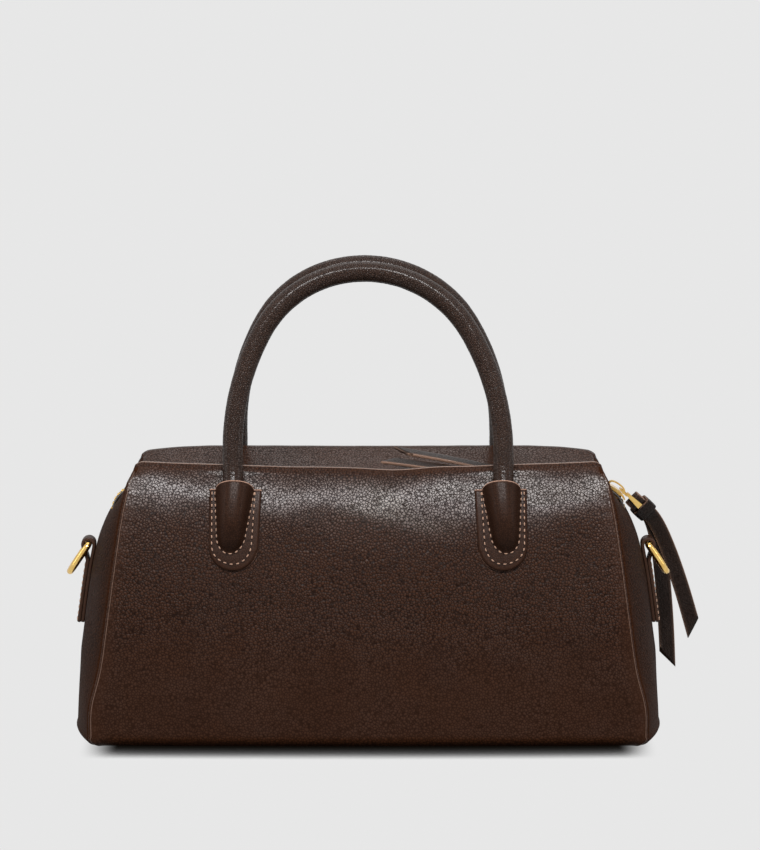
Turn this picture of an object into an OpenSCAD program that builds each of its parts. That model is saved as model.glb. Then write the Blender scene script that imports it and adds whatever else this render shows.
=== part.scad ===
/* [Body] */
// Length of the base between the two end seams
base_len = 281.5; // [250:0.5:310]
// Depth of the base at mid length
base_depth = 140; // [125:1:155]
// Height of the two soft ridges above the ground
ridge_height = 140.5; // [130:0.5:148]
// Length of the body at the height of the ridges
ridge_len = 234; // [215:1:250]
// Distance between the two ridges
ridge_gap = 76; // [66:1:86]
// Drop of the zip mouth below the two ridges
mouth_drop = 14; // [12:0.5:18]
// Width of the open slot between the two lips
mouth_gap = 14; // [13.5:0.5:17]
// Radius of the turned bottom edge
base_r = 5; // [4:0.5:7]
// Radius of the soft fold along each ridge
fold_r = 5; // [4:0.5:6]
// Swell of the front and rear panels at mid length
face_crown = 3; // [0:0.5:5]
// Sag of the ridges at mid length
ridge_sag = 1; // [0:0.5:4]
// Swell of the gussets at mid depth
gusset_bulge = 12.5; // [8:0.5:15]

/* [Leather] */
// Thickness of the body leather with its backing
leather_t = 2.2; // [1.6:0.1:2.4]
// Thickness of the lining cloth
lining_t = 0.6; // [0.4:0.1:0.8]
// Thickness of the base stiffener
board_t = 2.5; // [1.5:0.1:3.5]

/* [Handles] */
// Half of the distance between the two legs of a handle
handle_half_span = 68.3; // [60:0.1:73]
// Height of a handle above its two folds
handle_rise = 102.8; // [92:0.1:115]
// Straight length of each leg above its fold
leg_len = 11; // [8:0.5:14]
// Radius of the crown of the arch
arch_crown_r = 60; // [54:0.5:62]
// Outer radius of the rolled leather
handle_r = 5.1; // [4.5:0.1:5.3]
// Radius of the rope core
core_r = 3.6; // [3:0.1:3.8]
// Lean of the standing handles towards each other, in degrees
handle_lean = 17; // [14:0.5:20]

/* [Handle tabs] */
// Width of a handle tab
tab_w = 26.5; // [24:0.5:29]
// How far the middle of a tab lies inwards of the handle leg
tab_in = 1.4; // [0:0.1:2]
// Drop of the top edge of the tabs below the ridges
tab_drop = 12; // [11:0.5:16]
// Height of a handle tab on the panel
tab_len = 39.5; // [36:0.5:43]
// How much narrower a tab gets towards its lower end
tab_taper = 2.4; // [0:0.1:4]
// Thickness of a handle tab
tab_t = 1.5; // [1:0.1:1.6]
// Width of the raised sleeve
sleeve_w = 20; // [19:0.5:22]
// Height of the raised sleeve on the panel
sleeve_len = 30; // [27:0.5:32]
// How much narrower the sleeve gets towards its lower end
sleeve_taper = 5; // [0:0.5:6]
// Radius of the handle root inside the sleeve
root_r = 4.8; // [4:0.1:4.8]

/* [Zip] */
// Pitch of the zip teeth on each tape
tooth_pitch = 2.8; // [2.6:0.1:3.4]
// Length of a tooth along the zip
tooth_len = 1.4; // [1:0.1:1.6]
// Length of a tooth across the zip
tooth_w = 2.4; // [2:0.1:2.6]
// Height of a tooth
tooth_h = 2.4; // [2:0.1:2.6]
// Thickness of the zip tape
tape_t = 0.8; // [0.5:0.1:1]
// Width of each zip tape
tape_w = 13; // [11:0.5:14]
// Radius of the bend of the zip over each end of the mouth
zip_bend_r = 12; // [11:0.5:14]
// Drop of the ends of the zip below the ridges
zip_end_drop = 33.5; // [31:0.5:36]
// Distance of the top slider from the right end of the mouth
top_slider_back = 9; // [8:0.5:20]
// Length of a slider
slider_len = 12; // [11:0.5:12.5]
// Width of a slider
slider_w = 9.6; // [9:0.1:10]

/* [Zip pulls] */
// Distance between the two bars of a metal pull link
link_len = 9.2; // [8.8:0.1:11]
// Width of the leather pull strips
strip_w = 8.2; // [7:0.1:9]
// Thickness of the leather pull strips
strip_t = 1.6; // [1.3:0.1:1.7]
// Height of the leather keeper band
band_len = 7.5; // [6:0.5:9]
// Length of the longer tail below the keeper band
long_tail = 83; // [70:1:88]
// Length of the shorter tail below the keeper band
short_tail = 72.5; // [60:0.5:76]
// Length of the slanted cut at the end of a tail
tail_cut = 9; // [5:0.5:11]

/* [Ring tabs] */
// Drop of the loop of the ring tabs below the ridges
ring_drop = 46; // [44:0.5:49]
// Height of a ring tab below its loop
ring_tab_len = 40; // [34:0.5:43]
// Width of the ring tabs
ring_tab_w = 12.4; // [11:0.1:12.6]
// Thickness of one ply of the ring tabs
ply_t = 1.6; // [1.2:0.1:1.8]
// Radius of the ring wire
ring_wire_r = 1.7; // [1.4:0.1:1.8]
// Half of the length of the straight bar of the ring
ring_half_bar = 8.3; // [8.2:0.1:10]
// Straight length of the sides of the ring
ring_side = 9; // [6:0.5:10]
// Angle at which the rings stand away from the gussets, in degrees
ring_lean = 34; // [30:1:45]

/* [Hidden] */

leather_colour = "#40302a";
lining_colour = "#8f7d66";
board_colour = "#b59a6e";
tape_colour = "#2b211c";
metal_colour = "#d9b25c";
core_colour = "#cfc0a0";

// Gap between pieces that are glued or sewn face to face
seam_gap = 0.2;
// Gap between pieces that move past each other
run_gap = 0.3;
// Overrun of a cut past the face that it cuts
overrun = 1;

// Shapes of the body, as exponents and shares of the sizes above
wall_power = 3.3;
wall_spacing_power = 0.85;
end_straight_share = 0.78;
end_curve_power = 12;
bulge_power = 2.4;
bulge_foot_share = 0.72;
bulge_full_share = 0.3;
bulge_top_share = 0.9;
bulge_top_power = 9;
dip_power = 8;
arc_rows = 3;
wall_rows = 9;
fold_rows = 4;
lip_rows = 3;
face_columns = 14;
sag_power = 3;
// How far the ends of the ridges are drawn in at the top corners
corner_in = 2;

half_base = base_len / 2;
half_depth = base_depth / 2 - face_crown;
half_mouth = mouth_gap / 2;
crest = ridge_height + fold_r / 4;
wall_top = crest - fold_r;
mouth_height = ridge_height - mouth_drop;
zip_end_height = ridge_height - zip_end_drop;
tab_top = ridge_height - tab_drop;
tab_bottom = tab_top - tab_len;
sleeve_bottom = tab_top - sleeve_len;
ring_height = ridge_height - ring_drop;
ring_tab_bottom = ring_height - ring_tab_len;

function mix(a, b, t) = a + (b - a) * t;

// Half depth of the body at the end seams, at height z
function wall_depth(z) = half_depth - (half_depth - ridge_gap / 2) * pow(z / ridge_height, wall_power);

// Half length of the body at the end seams, at height z
function seam_len(z) = half_base - (half_base - ridge_len / 2)
    * mix(pow(z / ridge_height, end_curve_power), z / ridge_height, end_straight_share);

// How far a gusset swells out of its seams, at height z
function bulge(z) = gusset_bulge * mix(bulge_foot_share, 1, min(1, z / ridge_height / bulge_full_share))
    * max(0, 1 - pow(z / ridge_height / bulge_top_share, bulge_top_power));

// Rows of the front panel from the base up over the ridge to the mouth, as depth, height, half length
wall_slope = (wall_depth(wall_top - fold_r) - wall_depth(wall_top)) / fold_r;
fold_from = [wall_depth(wall_top), wall_top];
fold_over = [wall_depth(wall_top) - fold_r * wall_slope, crest];
lip_slope = (crest - mouth_height) / (fold_over[0] - half_mouth);
fold_to = fold_over - fold_r * [1, lip_slope];
mouth = [half_mouth, mouth_height];

function fold_point(t) = pow(1 - t, 2) * fold_from + 2 * t * (1 - t) * fold_over + t * t * fold_to;
function lip_len(inward) = seam_len(wall_top) - corner_in * inward;

rows = concat(
    [for (k = [0 : arc_rows - 1]) let (a = 90 * k / arc_rows)
        [half_depth - base_r * (1 - sin(a)), base_r * (1 - cos(a)), half_base - base_r * (1 - sin(a))]],
    [for (k = [0 : wall_rows]) let (z = mix(base_r, wall_top, pow(k / wall_rows, wall_spacing_power)))
        [wall_depth(z), z, seam_len(z)]],
    [for (k = [1 : fold_rows]) let (p = fold_point(k / fold_rows))
        [p[0], p[1], lip_len(k / fold_rows)]],
    [for (k = [1 : lip_rows]) let (p = mix(fold_to, mouth, k / lip_rows)) [p[0], p[1], lip_len(1)]]);
top_row = arc_rows + wall_rows;
last_row = len(rows) - 1;

// Outward direction of each row, as depth and height
function row_way(j) = let (a = rows[max(j - 1, 0)], b = rows[min(j + 1, last_row)],
    d = [b[0] - a[0], b[1] - a[1]]) [d[1], -d[0]] / norm(d);
function end_way(j) = j < arc_rows ? row_way(j)[0] : 1;

// The row j moved inwards by o
function row(j, o) = [rows[j][0] - o * row_way(j)[0], rows[j][1] - o * row_way(j)[1],
    rows[j][2] - o * end_way(j)];

function crown_at(j) = j <= top_row ? face_crown
    : face_crown * (rows[j][0] - half_mouth) / (fold_from[0] - half_mouth);
function sag_at(j) = j <= top_row ? ridge_sag * pow(rows[j][1] / wall_top, sag_power)
    : ridge_sag * min(1, (rows[j][0] - half_mouth) / (fold_to[0] - half_mouth));

// A point of the front panel, s from -1 at the left seam to 1 at the right one
function face_point(s, j, o) = let (r = row(j, o), c = 1 - s * s)
    [s * r[2], -r[0] - crown_at(j) * c, r[1] - sag_at(j) * c * c];

// A place on the front wall at length x and height z, o outside its surface
function wall_place(x, z, o) = let (c = 1 - pow(x / seam_len(z), 2), step = base_r / 2,
        d = [wall_depth(z + step) - wall_depth(z - step), 2 * step], w = [d[1], -d[0]] / norm(d))
    [x, -wall_depth(z) - face_crown * c - o * w[0],
        z - ridge_sag * pow(z / wall_top, sag_power) * c * c + o * w[1]];

// Columns of a gusset, from the front seam over the zip to the rear seam
gusset_columns = concat([for (j = [top_row : last_row]) [j, -1]],
    [for (j = [last_row : -1 : top_row]) [j, 1]]);

// A point of the right gusset at column k and row j
function gusset_point(k, j, o) = let (g = gusset_columns[k], c = row(g[0], o), r = row(j, o),
        u = rows[g[0]][0] / fold_from[0])
    j == top_row ? [c[2], g[1] * c[0], c[1]]
    : [r[2] + bulge(rows[j][1]) * (1 - pow(u, bulge_power)), g[1] * u * r[0],
        r[1] + (rows[g[0]][1] - wall_top) * pow(rows[j][1] / wall_top, dip_power)];

// Length and height of the middle line of a gusset at height z of its seams
function gusset_line(z, o) = [seam_len(z) + bulge(z) - o,
    z + (mouth_height - wall_top) * pow(z / wall_top, dip_power)];

// A plate between two grids of points, with n columns and m rows
module plate(outside, inside, n, m) {
    k = n * m;
    polyhedron(points = concat(outside, inside), faces = concat(
        [for (j = [0 : m - 2], i = [0 : n - 2]) let (a = j * n + i) each
            [[a, a + n, a + n + 1], [a, a + n + 1, a + 1],
             [k + a, k + a + n + 1, k + a + n], [k + a, k + a + 1, k + a + n + 1]]],
        [for (i = [0 : n - 2]) let (a = i, b = (m - 1) * n + i) each
            [[a, a + 1, k + a + 1], [a, k + a + 1, k + a],
             [b + 1, b, k + b], [b + 1, k + b, k + b + 1]]],
        [for (j = [0 : m - 2]) let (a = j * n, b = j * n + n - 1) each
            [[a + n, a, k + a], [a + n, k + a, k + a + n],
             [b, b + n, k + b + n], [b, k + b + n, k + b]]]));
}

module face_shell(from_row, to_row, outer, inner) {
    n = face_columns;
    plate([for (j = [from_row : to_row], i = [0 : n]) face_point(2 * i / n - 1, j, outer)],
        [for (j = [from_row : to_row], i = [0 : n]) face_point(2 * i / n - 1, j, inner)],
        n + 1, to_row - from_row + 1);
}

module gusset_shell(from_row, to_row, outer, inner) {
    n = len(gusset_columns);
    plate([for (j = [from_row : to_row], k = [0 : n - 1]) gusset_point(k, j, outer)],
        [for (j = [from_row : to_row], k = [0 : n - 1]) gusset_point(k, j, inner)],
        n, to_row - from_row + 1);
}

module to_rear() { mirror([0, 1, 0]) children(); }
module to_left() { mirror([1, 0, 0]) children(); }

module front_panel() { color(leather_colour) face_shell(0, last_row, 0, leather_t); }
module rear_panel() { to_rear() front_panel(); }

// The slot in a gusset that the zip runs down through
module zip_slot(half_w, bottom) {
    translate([ridge_len / 2 - base_r, -half_w, bottom])
        cube([half_base, half_w * 2, ridge_height - bottom + overrun]);
}

module right_gusset() {
    color(leather_colour) difference() {
        gusset_shell(0, top_row, 0, leather_t);
        zip_slot(half_mouth, zip_end_height - tooth_pitch);
    }
}
module left_gusset() { to_left() right_gusset(); }

// Gap that keeps the base clear of the slanted lower edges of the walls
base_gap = seam_gap + leather_t * row_way(0)[0];

// Outline of the base, g inside the turned edges of the walls
function base_outline(g) = let (d = rows[0][0] - g, l = rows[0][2] - g, n = face_columns)
    concat([for (i = [0 : n]) let (s = 2 * i / n - 1) [s * l, -d - face_crown * (1 - s * s)]],
        [for (i = [1 : n - 1]) let (u = 2 * i / n - 1)
            [l + bulge(0) * (1 - pow(abs(u), bulge_power)), u * d]],
        [for (i = [0 : n]) let (s = 1 - 2 * i / n) [s * l, d + face_crown * (1 - s * s)]],
        [for (i = [1 : n - 1]) let (u = 1 - 2 * i / n)
            [-l - bulge(0) * (1 - pow(abs(u), bulge_power)), u * d]]);

module base_panel() { color(leather_colour) linear_extrude(leather_t) polygon(base_outline(base_gap)); }
module base_board() {
    color(board_colour) translate([0, 0, leather_t + seam_gap])
        linear_extrude(board_t) polygon(base_outline(seam_gap));
}
module base_lining() {
    color(lining_colour) translate([0, 0, leather_t + board_t + 2 * seam_gap])
        linear_extrude(lining_t) polygon(base_outline(2 * seam_gap));
}

lining_out = leather_t + seam_gap;
lining_in = lining_out + lining_t;
lining_foot = arc_rows;
module front_lining() { color(lining_colour) face_shell(lining_foot, last_row - 1, lining_out, lining_in); }
module rear_lining() { to_rear() front_lining(); }
module right_lining() {
    color(lining_colour) difference() {
        gusset_shell(lining_foot, top_row - 1, lining_out, lining_in);
        zip_slot(tape_w + slot_half + seam_gap, zip_end_height - tooth_pitch * 3);
    }
}
module left_lining() { to_left() right_lining(); }

// Line of the zip: level along the mouth, round a bend, then down into the slot of the gusset
slot_half = 0.6;
end_turn_angle = 84;
zip_depth = leather_t + seam_gap + tape_t / 2;
zip_z = mouth_height - zip_depth;
bend_out = 2;
bend_x = ridge_len / 2 + bend_out;
bend_z = zip_z - zip_bend_r;
bend_len = zip_bend_r * end_turn_angle * PI / 180;
bend_end = [bend_x + zip_bend_r * sin(end_turn_angle), bend_z + zip_bend_r * cos(end_turn_angle)];
half_zip = bend_x + bend_len + (bend_end[1] - zip_end_height) / sin(end_turn_angle);

// Place and downward angle of the zip at distance s from its middle, s up to half_zip
function zip_turn(s) = min(end_turn_angle, max(0, s - bend_x) / zip_bend_r * 180 / PI);
function zip_place(s) = let (a = zip_turn(s), run = max(0, s - bend_x - bend_len))
    s < bend_x ? [s, zip_z] : [bend_x + zip_bend_r * sin(a) + run * cos(a),
        bend_z + zip_bend_r * cos(a) - run * sin(a)];
function zip_side(s, o) = zip_place(s) + o * [sin(zip_turn(s)), cos(zip_turn(s))];

bend_steps = 6;
tape_foot = half_zip + tooth_pitch;
wide_tape = lip_len(1) - leather_t - run_gap;
bend_stations = concat([wide_tape], [for (k = [0 : bend_steps]) bend_x + bend_len * k / bend_steps],
    [tape_foot]);
tape_from = slot_half + tooth_w + seam_gap;
slot_tape_w = half_mouth - tape_from - run_gap;
function tape_band(stations) = concat([for (s = stations) zip_side(s, tape_t / 2)],
    [for (k = [len(stations) - 1 : -1 : 0]) zip_side(stations[k], -tape_t / 2)]);

module front_zip_tape() {
    color(tape_colour) translate([0, -tape_from, 0]) rotate([90, 0, 0]) {
        translate([-wide_tape, zip_z - tape_t / 2, 0]) cube([2 * wide_tape, tape_t, tape_w - tooth_w]);
        for (side = [0, 1]) mirror([side, 0, 0])
            linear_extrude(slot_tape_w) polygon(tape_band(bend_stations));
    }
}
module rear_zip_tape() { to_rear() front_zip_tape(); }

// One row of teeth along the edge of a tape, each row shifted by a quarter of the pitch
teeth_shift_share = 0.25;
teeth_each_side = floor((half_zip - tooth_pitch) / tooth_pitch);
module teeth(shift) {
    for (k = [-teeth_each_side : teeth_each_side]) {
        s = (k + shift) * tooth_pitch;
        p = zip_place(abs(s));
        translate([sign(s) * p[0], -slot_half - tooth_w / 2, p[1]])
            rotate([0, sign(s) * zip_turn(abs(s)), 0])
                cube([tooth_len, tooth_w, tooth_h], center = true);
    }
}
module front_zip_teeth() { color(metal_colour) teeth(teeth_shift_share); }
module rear_zip_teeth() { color(metal_colour) to_rear() teeth(-teeth_shift_share); }

// Stop at each end of the zip, a small staple across both tapes
stop_len = 2.2;
stop_wall = 0.7;
stop_grip = 1.2;
module right_zip_stop() {
    p = zip_place(half_zip);
    color(metal_colour) translate([p[0], 0, p[1]]) rotate([0, end_turn_angle, 0])
        difference() {
            cube([stop_len, 2 * (tape_from + stop_grip), tape_t + 2 * (seam_gap + stop_wall)], center = true);
            for (side = [-1, 1]) translate([0, side * (tape_from + stop_grip), 0])
                cube([stop_len + overrun, 2 * (stop_grip + seam_gap), tape_t + 2 * seam_gap], center = true);
        }
}
module left_zip_stop() { to_left() right_zip_stop(); }

// Slider: two plates joined by a thin neck in the slot, with a bridge for the pull
plate_t = 0.9;
rim_t = 0.8;
rim_drop = 0.7;
neck_t = 0.6;
neck_len = 4;
bridge_w = 2.6;
bridge_t = 0.8;
bridge_len = 10;
bar_r = 0.6;
nose_share = 0.7;
bar_rise = 0.8;
plate_z = tooth_h / 2 + run_gap;
bar_z = plate_z + plate_t + bar_rise;
bridge_top = plate_t / 2 + bar_rise + bar_r + 2 * run_gap + bridge_t;

module slider_plate() {
    l = slider_len / 2;
    w = slider_w / 2;
    linear_extrude(plate_t) polygon([[-l, -w * nose_share], [-l, w * nose_share], [-l / 2, w],
        [l / 2, w], [l, w * nose_share], [l, -w * nose_share], [l / 2, -w], [-l / 2, -w]]);
    for (side = [-1, 1]) translate([-l / 2, side > 0 ? w - rim_t : -w, -rim_drop])
        cube([l, rim_t, rim_drop]);
}

// Sector of a ring about the middle of the bend, from radius r0 to r1 and from depth y0 to y1
module bend_sector(r0, r1, y0, y1, from, to) {
    translate([0, 0, -zip_bend_r]) rotate([90, 0, 0]) rotate([0, 0, 90 - to])
        rotate_extrude(angle = to - from, $fn = 96) translate([r0, 0]) square([r1 - r0, y1 - y0]);
}
module curved_plate(r, inward) {
    a = slider_len / 2 / zip_bend_r * 180 / PI;
    w = slider_w / 2;
    translate([0, w, 0])
        bend_sector(min(r, r + inward * plate_t), max(r, r + inward * plate_t), 0, 2 * w, -a, a);
    for (side = [-1, 1]) translate([0, side > 0 ? w : -w + rim_t, 0])
        bend_sector(min(r, r - inward * rim_drop), max(r, r - inward * rim_drop), 0, rim_t, -a / 2, a / 2);
}
module bridge() {
    translate([0, bridge_w / 2, plate_z]) rotate([90, 0, 0]) linear_extrude(bridge_w)
        polygon(concat([for (a = [0 : 15 : 180])
                [bridge_len / 2 * cos(a), plate_t / 2 + bridge_top * sqrt(sin(a))]],
            [for (a = [180 : -15 : 0])
                [(bridge_len / 2 - bridge_t) * cos(a),
                    plate_t / 2 + (bridge_top - bridge_t) * sqrt(sin(a))]]));
}
module neck() {
    translate([slider_len / 2 - neck_len, -neck_t / 2, -plate_z]) cube([neck_len, neck_t, 2 * plate_z]);
}

// Distance of the bar of a pull from the middle of its slider
bar_shift = 2.2;
top_slider_at = [bend_x - top_slider_back, 0, zip_z];
top_bar_at = top_slider_at + [-bar_shift, 0, bar_z];

// The end slider rides on the bend and turns about its middle
end_slider_turn = 36;
end_slider_at = [bend_x + zip_bend_r * sin(end_slider_turn), 0, bend_z + zip_bend_r * cos(end_slider_turn)];
end_bar_at = end_slider_at + bar_z * [sin(end_slider_turn), 0, cos(end_slider_turn)]
    + bar_shift * [cos(end_slider_turn), 0, -sin(end_slider_turn)];

module top_slider() {
    color(metal_colour) translate(top_slider_at) {
        for (side = [0, 1]) mirror([0, 0, side]) translate([0, 0, plate_z]) slider_plate();
        neck();
        bridge();
    }
}
module end_slider() {
    color(metal_colour) translate(end_slider_at) rotate([0, end_slider_turn, 0]) {
        curved_plate(zip_bend_r + plate_z, 1);
        curved_plate(zip_bend_r - plate_z, -1);
        translate([0, neck_t / 2, 0])
            bend_sector(zip_bend_r - plate_z - plate_t / 2, zip_bend_r + plate_z + plate_t / 2, 0, neck_t, 0,
                neck_len / zip_bend_r * 180 / PI);
        bridge();
    }
}

// Pull link: a bar under the bridge, two arms, a web to the bar that holds the strap, and a tapered
// plate over the strap. The turn sets the strap about the link, and its way is its angle about its bar
arm_w = 1.2;
arm_gap = strip_t + seam_gap * 1.5;
arm_out = arm_gap + arm_w;
cross_from = 3.6;
cross_to = 4.6;
web_w = 1.6;
loop_bar_r = 0.9;
loop_half = 3.6;
plate_start_w = 1.5;
plate_end_w = 3;
plate_up = loop_bar_r + strip_t + 2 * seam_gap;

module strap_way(turn, shift, way) {
    rotate([turn, 0, 0]) translate([link_len, shift, 0]) rotate([0, way, 0])
        translate([-link_len, 0, 0]) children();
}
module pull_link(turn, shift) {
    color(metal_colour) {
        translate([0, arm_out, 0]) rotate([90, 0, 0]) cylinder(h = 2 * arm_out, r = bar_r, $fn = 24);
        for (side = [-1, 1]) translate([0, side > 0 ? arm_gap : -arm_out, -bar_r])
            cube([cross_to, arm_w, 2 * bar_r]);
        translate([cross_from, -arm_out, -bar_r]) cube([cross_to - cross_from, 2 * arm_out, 2 * bar_r]);
        rotate([turn, 0, 0]) translate([0, shift, 0]) {
            translate([cross_from, -web_w / 2, -bar_r]) cube([link_len - cross_from, web_w, 2 * bar_r]);
            translate([cross_from, -web_w / 2, -bar_r])
                cube([cross_to - cross_from, web_w, plate_up + 2 * bar_r]);
            translate([link_len, loop_half, 0]) rotate([90, 0, 0])
                cylinder(h = 2 * loop_half, r = loop_bar_r, $fn = 24);
            translate([0, 0, plate_up]) linear_extrude(arm_w) polygon([[cross_from, -plate_start_w / 2],
                [plate_to, -plate_end_w / 2], [plate_to, plate_end_w / 2], [cross_from, plate_start_w / 2]]);
        }
    }
}

// Leather strip along a curve, turned from side way w0 to side way w1, with a slanted end
strip_steps = 9;
function unit(v) = v / norm(v);
function curve(p, t) = pow(1 - t, 2) * p[0] + 2 * t * (1 - t) * p[1] + t * t * p[2];
function curve_way(p, t) = unit((1 - t) * (p[1] - p[0]) + t * (p[2] - p[1]));
function strip_ring(p, w0, w1, t, cut) = let (c = curve(p, t), d = curve_way(p, t),
        w = unit(mix(w0, w1, t)), side = unit(w - (w * d) * d), up = cross(d, side))
    [for (q = [[-1, -1], [1, -1], [1, 1], [-1, 1]])
        c + q[0] * side * strip_w / 2 + q[1] * up * strip_t / 2 + (t == 1 ? q[0] * d * cut / 2 : [0, 0, 0])];
module strip(p, w0, w1, cut) {
    n = strip_steps;
    polyhedron(points = [for (k = [0 : n]) each strip_ring(p, w0, w1, k / n, cut)], faces = concat(
        [[0, 1, 2], [0, 2, 3], [4 * n, 4 * n + 2, 4 * n + 1], [4 * n, 4 * n + 3, 4 * n + 2]],
        [for (k = [0 : n - 1], m = [0 : 3]) let (a = 4 * k + m, b = 4 * k + (m + 1) % 4) each
            [[b, a, a + 4], [b, a + 4, b + 4]]]));
}

// Fold of the strap round the loop bar, and the two plies down to the end of the band
fold_in = loop_bar_r + seam_gap;
ply_mid = fold_in + strip_t / 2;
band_gap_x = 4.2;
band_from = link_len + band_gap_x;
plate_to = band_from - seam_gap;
band_to = band_from + band_len;
ply_apart = strip_t / 2 + seam_gap / 2;
module strap_fold() {
    translate([link_len, strip_w / 2, 0]) rotate([90, 0, 0]) difference() {
        cylinder(h = strip_w, r = fold_in + strip_t, $fn = 32);
        translate([0, 0, -overrun]) cylinder(h = strip_w + 2 * overrun, r = fold_in, $fn = 32);
        translate([0, -2 * ply_mid, -overrun]) cube([4 * ply_mid, 4 * ply_mid, strip_w + 2 * overrun]);
        translate([-2 * ply_mid, -ply_mid - strip_t, strip_w / 2 - web_w / 2 - run_gap])
            cube([2 * ply_mid, 2 * (ply_mid + strip_t), web_w + 2 * run_gap]);
    }
    for (side = [-1, 1]) {
        strip([[link_len, 0, side * ply_mid], [band_from - band_gap_x / 2, 0, side * ply_mid],
            [band_from, 0, side * ply_apart]], [0, 1, 0], [0, 1, 0], 0);
        translate([band_from, -strip_w / 2, side > 0 ? seam_gap / 2 : -seam_gap / 2 - strip_t])
            cube([band_len, strip_w, strip_t]);
    }
}

band_wall = 1.2;
module pull_band() {
    inner = [band_len + overrun, strip_w + 2 * seam_gap, 2 * strip_t + 3 * seam_gap];
    color(leather_colour) translate([(band_from + band_to) / 2, 0, 0]) difference() {
        cube([band_len, inner[1] + 2 * band_wall, inner[2] + 2 * band_wall], center = true);
        cube(inner, center = true);
    }
}

// The top pull is thrown back along the mouth, the end pull hangs outside the right gusset
top_pull_rise = 6;
tail_lead_share = 0.2;
top_long_end_shares = [0.927, 0.048, 0.016];
top_short_end_shares = [0.98, -0.124, 0.058];
end_pull_fall = 44;
end_pull_way = 34;
end_turn = 90;
end_shift = 0.7;
end_long_end_shares = [0.761, -0.591, 0.256];
end_short_end_shares = [0.873, -0.389, 0.236];

module top_pull_place() { translate(top_bar_at) rotate([0, -top_pull_rise, 180]) children(); }
module end_pull_place() { translate(end_bar_at) rotate([0, end_pull_fall, 0]) children(); }

// Two tails that leave the band and end at the given shares of their length
module tails(long_shares, short_shares, side_way, way) {
    under = [band_to, 0, -ply_apart];
    over = [band_to, 0, ply_apart];
    strip([under, under + [long_tail * tail_lead_share, 0, 0], under + long_tail * long_shares],
        side_way, side_way, way * tail_cut);
    strip([over, over + [short_tail * tail_lead_share, 0, 0], over + short_tail * short_shares],
        side_way, side_way, -way * tail_cut);
}

module pull_strap(long_shares, short_shares) {
    color(leather_colour) {
        strap_fold();
        tails(long_shares, short_shares, [0, 1, 0], 1);
    }
}

module top_pull_link() { top_pull_place() pull_link(0, 0); }
module top_pull_band() { top_pull_place() pull_band(); }
module top_pull_strap() { top_pull_place() pull_strap(top_long_end_shares, top_short_end_shares); }
module end_pull_link() { end_pull_place() pull_link(end_turn, end_shift); }
module end_pull_band() { end_pull_place() strap_way(end_turn, end_shift, end_pull_way) pull_band(); }
module end_pull_strap() {
    end_pull_place() strap_way(end_turn, end_shift, end_pull_way)
        pull_strap(end_long_end_shares, end_short_end_shares);
}

// Handle roots run up inside the sleeves, and the handles fold just above them
root_off = tab_t + 3 * seam_gap + root_r + run_gap;
root_foot_share = 0.4;
root_foot = wall_place(handle_half_span, mix(tab_top, sleeve_bottom, root_foot_share), root_off);
root_mouth = wall_place(handle_half_span, tab_top, root_off);
root_way = unit(root_mouth - root_foot);
root_tilt = atan2(root_way[1], root_way[2]);
fold_gap = 0.9;
fold_rise = 7.5;
fold_at = root_mouth + fold_rise * root_way;
root_len = norm(root_mouth - root_foot) + fold_rise - handle_r - root_r - fold_gap;

module root_shape(r) {
    translate(root_foot) rotate([-root_tilt, 0, 0]) {
        cylinder(h = root_len, r = r, $fn = 48);
        sphere(r = r, $fn = 48);
        translate([0, 0, root_len]) sphere(r = r, $fn = 48);
    }
}
module front_right_root() { color(leather_colour) root_shape(root_r); }
module front_left_root() { to_left() front_right_root(); }
module rear_right_root() { to_rear() front_right_root(); }
module rear_left_root() { to_rear() front_left_root(); }

// Three-centred arch of a handle: crown arc and two side arcs on straight legs
arch_rise = handle_rise - leg_len;
arch_side_r = (pow(handle_half_span, 2) + pow(arch_rise, 2) - 2 * arch_rise * arch_crown_r)
    / (2 * (handle_half_span - arch_crown_r));
arch_side_x = handle_half_span - arch_side_r;
arch_crown_z = arch_rise - arch_crown_r;
arch_join = atan2(arch_crown_z, -arch_side_x);

module arc_tube(radius, from, to, r) {
    rotate([90, 0, 0]) rotate([0, 0, from]) rotate_extrude(angle = to - from, $fn = 96)
        translate([radius, 0]) circle(r = r, $fn = 32);
}
// Stations of the arch from the right fold to the left one, as length, height and angle
half_turn = 180;
side_steps = 5;
crown_steps = 12;
half_arch = concat([[handle_half_span, seam_gap, 0]],
    [for (k = [0 : side_steps - 1]) let (a = arch_join * k / side_steps)
        [arch_side_x + arch_side_r * cos(a), leg_len + arch_side_r * sin(a), a]]);
arch_stations = concat(half_arch,
    [for (k = [0 : crown_steps]) let (a = mix(arch_join, half_turn - arch_join, k / crown_steps))
        [arch_crown_r * cos(a), leg_len + arch_crown_z + arch_crown_r * sin(a), a]],
    [for (k = [len(half_arch) - 1 : -1 : 0]) let (p = half_arch[k])
        [-p[0], p[1], half_turn - p[2]]]);

// Rolled leather round the core, open along a seam on the inner side of the arch
wrap_sides = 12;
core_sides = 10;
seam_angle = 3;
wrap_bore = (core_r + seam_gap) / cos(180 / wrap_sides);
wrap_section = concat(
    [for (k = [0 : wrap_sides]) let (a = 180 + mix(seam_angle, 360 - seam_angle, k / wrap_sides))
        handle_r * [cos(a), sin(a)]],
    [for (k = [wrap_sides : -1 : 0]) let (a = 180 + mix(seam_angle, 360 - seam_angle, k / wrap_sides))
        wrap_bore * [cos(a), sin(a)]]);
core_section = [for (k = [0 : core_sides - 1]) let (a = 360 * k / core_sides)
    core_r * [cos(a), sin(a)]];

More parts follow.
